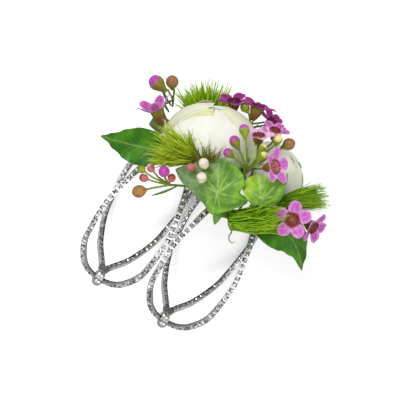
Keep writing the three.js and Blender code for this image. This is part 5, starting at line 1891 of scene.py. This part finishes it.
IVY = (
    IvyLeaf(
        "ivy_leaf_centre", (0.074, 0.022, 0.925), (-1, -0.06, -0.01), (-0.03, 0.31, 0.95), 0.0171, 0.16,
        (
            (0, 1), (23, 0.76), (44, 0.63), (65, 0.72), (89, 0.69), (115, 0.66), (133, 0.61), (150, 0.48),
            (163, 0.67), (195, 0.48), (229, 0.42), (251, 0.46), (290, 0.36), (332, 0.52), (350, 0.82),
        ),
        (0.08, 0.8), ((0.06, 0.04, 0.28), (0.07, 0, 0.5), (0.08, 0, 0.85)),
        (0, 23, 65, 89, 115, 163, 229, 251),
        side_tint=Tint.IVY_SHEEN_GREY,
    ),
    IvyLeaf(
        "ivy_leaf_right", (0.379, 0.21, 0.84), (0.23, 0.93, -0.3), (0.03, 0.31, 0.95), 0.0134, 0.2,
        (
            (0, 1), (22, 0.66), (44, 0.52), (66, 0.36), (134, 0.2), (210, 0.34), (240, 0.49), (263, 0.64),
            (284, 0.67), (302, 0.67), (330, 0.61), (352, 0.68),
        ),
        (0.46, 0.75), ((0.34, 0.04, 0.28), (0.35, 0.02, 0.5), (0.37, 0.14, 0.76)), (0, 30, 263, 302, 335),
        side_tint=Tint.IVY_LIME, side_tint_turn=270,
    ),
    IvyLeaf(
        "ivy_leaf_lower", (0.171, -0.12, 0.69), (0.14, -0.94, 0.28), (-0.05, 0.28, 0.95), 0.0088, 0.15,
        (
            (0, 1), (25, 0.64), (65, 0.51), (114, 0.39), (185, 0.34), (245, 0.4), (288, 0.48), (308, 1),
            (326, 0.65), (345, 0.6),
        ),
        (0.26, 0.85), ((0.17, 0.035, 0.27), (0.17, -0.05, 0.45), (0.17, -0.11, 0.6)), (0, 65, 308),
        ((0.19, -0.13, 0.68), (0.293, -0.298, 0.742), (0.331, -0.33, 0.752), (0.333, -0.385, 0.767),
         (0.352, -0.424, 0.778), (0.381, -0.431, 0.781), (0.391, -0.398, 0.772)),
    ),
)

SALAL = (
    SalalLeaf("salal_leaf_left", (-0.34, 0.03, 0.6), (-0.62, -0.16, 0.66), (-0.88, -0.38, 0.35),
              (-0.1, 0.25, 0.95), 0.0136, 0.3, (-0.5, 0.8),
              ((-0.35, 0.035, 0.27), (-0.34, 0, 0.4), (-0.35, 0.03, 0.55))),
    SalalLeaf("salal_leaf_right", (0.36, -0.2, 0.6), (0.72, 0.17, 0.68), (0.95, -0.41, 0.4),
              (0.15, 0.2, 0.95), 0.0145, 0.25, (0.56, 0.85),
              ((0.37, 0.035, 0.27), (0.36, -0.04, 0.4), (0.35, -0.15, 0.53)), seed=4),
    SalalLeaf("salal_leaf_back_left", (-0.28, 0.05, -0.28), (-0.34, 0.16, -0.56), (-0.47, 0, -0.745),
              (-0.1, -0.5, -0.86), 0.0145, 0.25, (-0.5, -0.85), ((-0.3, 0.04, -0.24),), seed=6),
    SalalLeaf("salal_leaf_back_right", (0.26, 0.05, -0.28), (0.34, 0.18, -0.56), (0.45, 0, -0.745),
              (0.1, -0.5, -0.86), 0.0145, 0.25, (0.44, -0.85), ((0.27, 0.04, -0.24),), seed=8),
)

TUFTS = (
    GrassTuft(
        "green_tuft_left", (-0.36, 0.85), ((-0.24, 0.035, 0.25), (-0.21, -0.09, 0.42), (-0.18, -0.08, 0.6)),
        (
            FanPlan((-0.24, 0.14, 0.735), (-0.93, -0.26, 0.28), 0.0148, 0.0072, 0.42, 250, (0.0, 0.06, 0.0),
                    thickness=0.00027, loose=0.13, low=Tint.TUFT_OLIVE_DEEP, high=Tint.TUFT_OLIVE),
            FanPlan((-0.22, 0.16, 0.735), (-0.86, 0.3, 0.24), 0.0092, 0.006, 0.3, 110,
                    thickness=0.00027, loose=0.2, low=Tint.TUFT_OLIVE_DEEP, high=Tint.TUFT_OLIVE),
            FanPlan((-0.115, 0.21, 0.76), (-0.5, 0.86, 0.1), 0.0062, 0.004, 0.85, 70,
                    loose=0.35, crimp=0.0006, low=Tint.STEM_RED, high=Tint.TUFT_OLIVE_DEEP),
        ),
    ),
    GrassTuft(
        "green_tuft_front", (0.44, 0.9), ((0.31, 0.04, 0.27), (0.3, -0.1, 0.45), (0.29, -0.14, 0.66)),
        (
            FanPlan((0.31, -0.16, 0.82), (0.88, 0.47, 0.06), 0.0171, 0.0288, 0.125, 210, (-0.1, 0.15, -0.05),
                    thickness=0.00042, crimp=0.0011, ragged=0.22),
        ),
    ),
    GrassTuft(
        "green_tuft_right", (0.88, 0.85), ((0.58, 0.035, 0.27), (0.57, -0.02, 0.38), (0.53, 0.04, 0.46)),
        (
            FanPlan((0.53, 0.17, 0.52), (0.68, 0.73, -0.05), 0.0185, 0.0138, 0.17, 300, (0.03, -0.05, 0.0),
                    loose=0.04, high=Tint.TUFT_PALE),
        ),
    ),
    GrassTuft(
        "green_tuft_top", (-0.3, -0.7), ((-0.24, 0.05, -0.24), (-0.24, 0.14, -0.27)),
        (
            FanPlan((-0.281, 0.26, -0.26), (-0.55, 0.74, -0.38), 0.0125, 0.006, 0.65, 260, thickness=0.0004,
                    loose=0.12),
        ),
    ),
)


def main() -> None:
    """Builds the corsage piece by piece, then the studio."""
    logging.basicConfig(level=logging.INFO, format="%(name)s: %(message)s")
    Studio().build()
    RhinestoneCuff().build()
    for group in (CALYXES, BLOOMS, SPRIGS, BLOSSOMS, IVY, SALAL, TUFTS):
        for piece in group:
            piece.build()


if __name__ == "__main__":
    main()
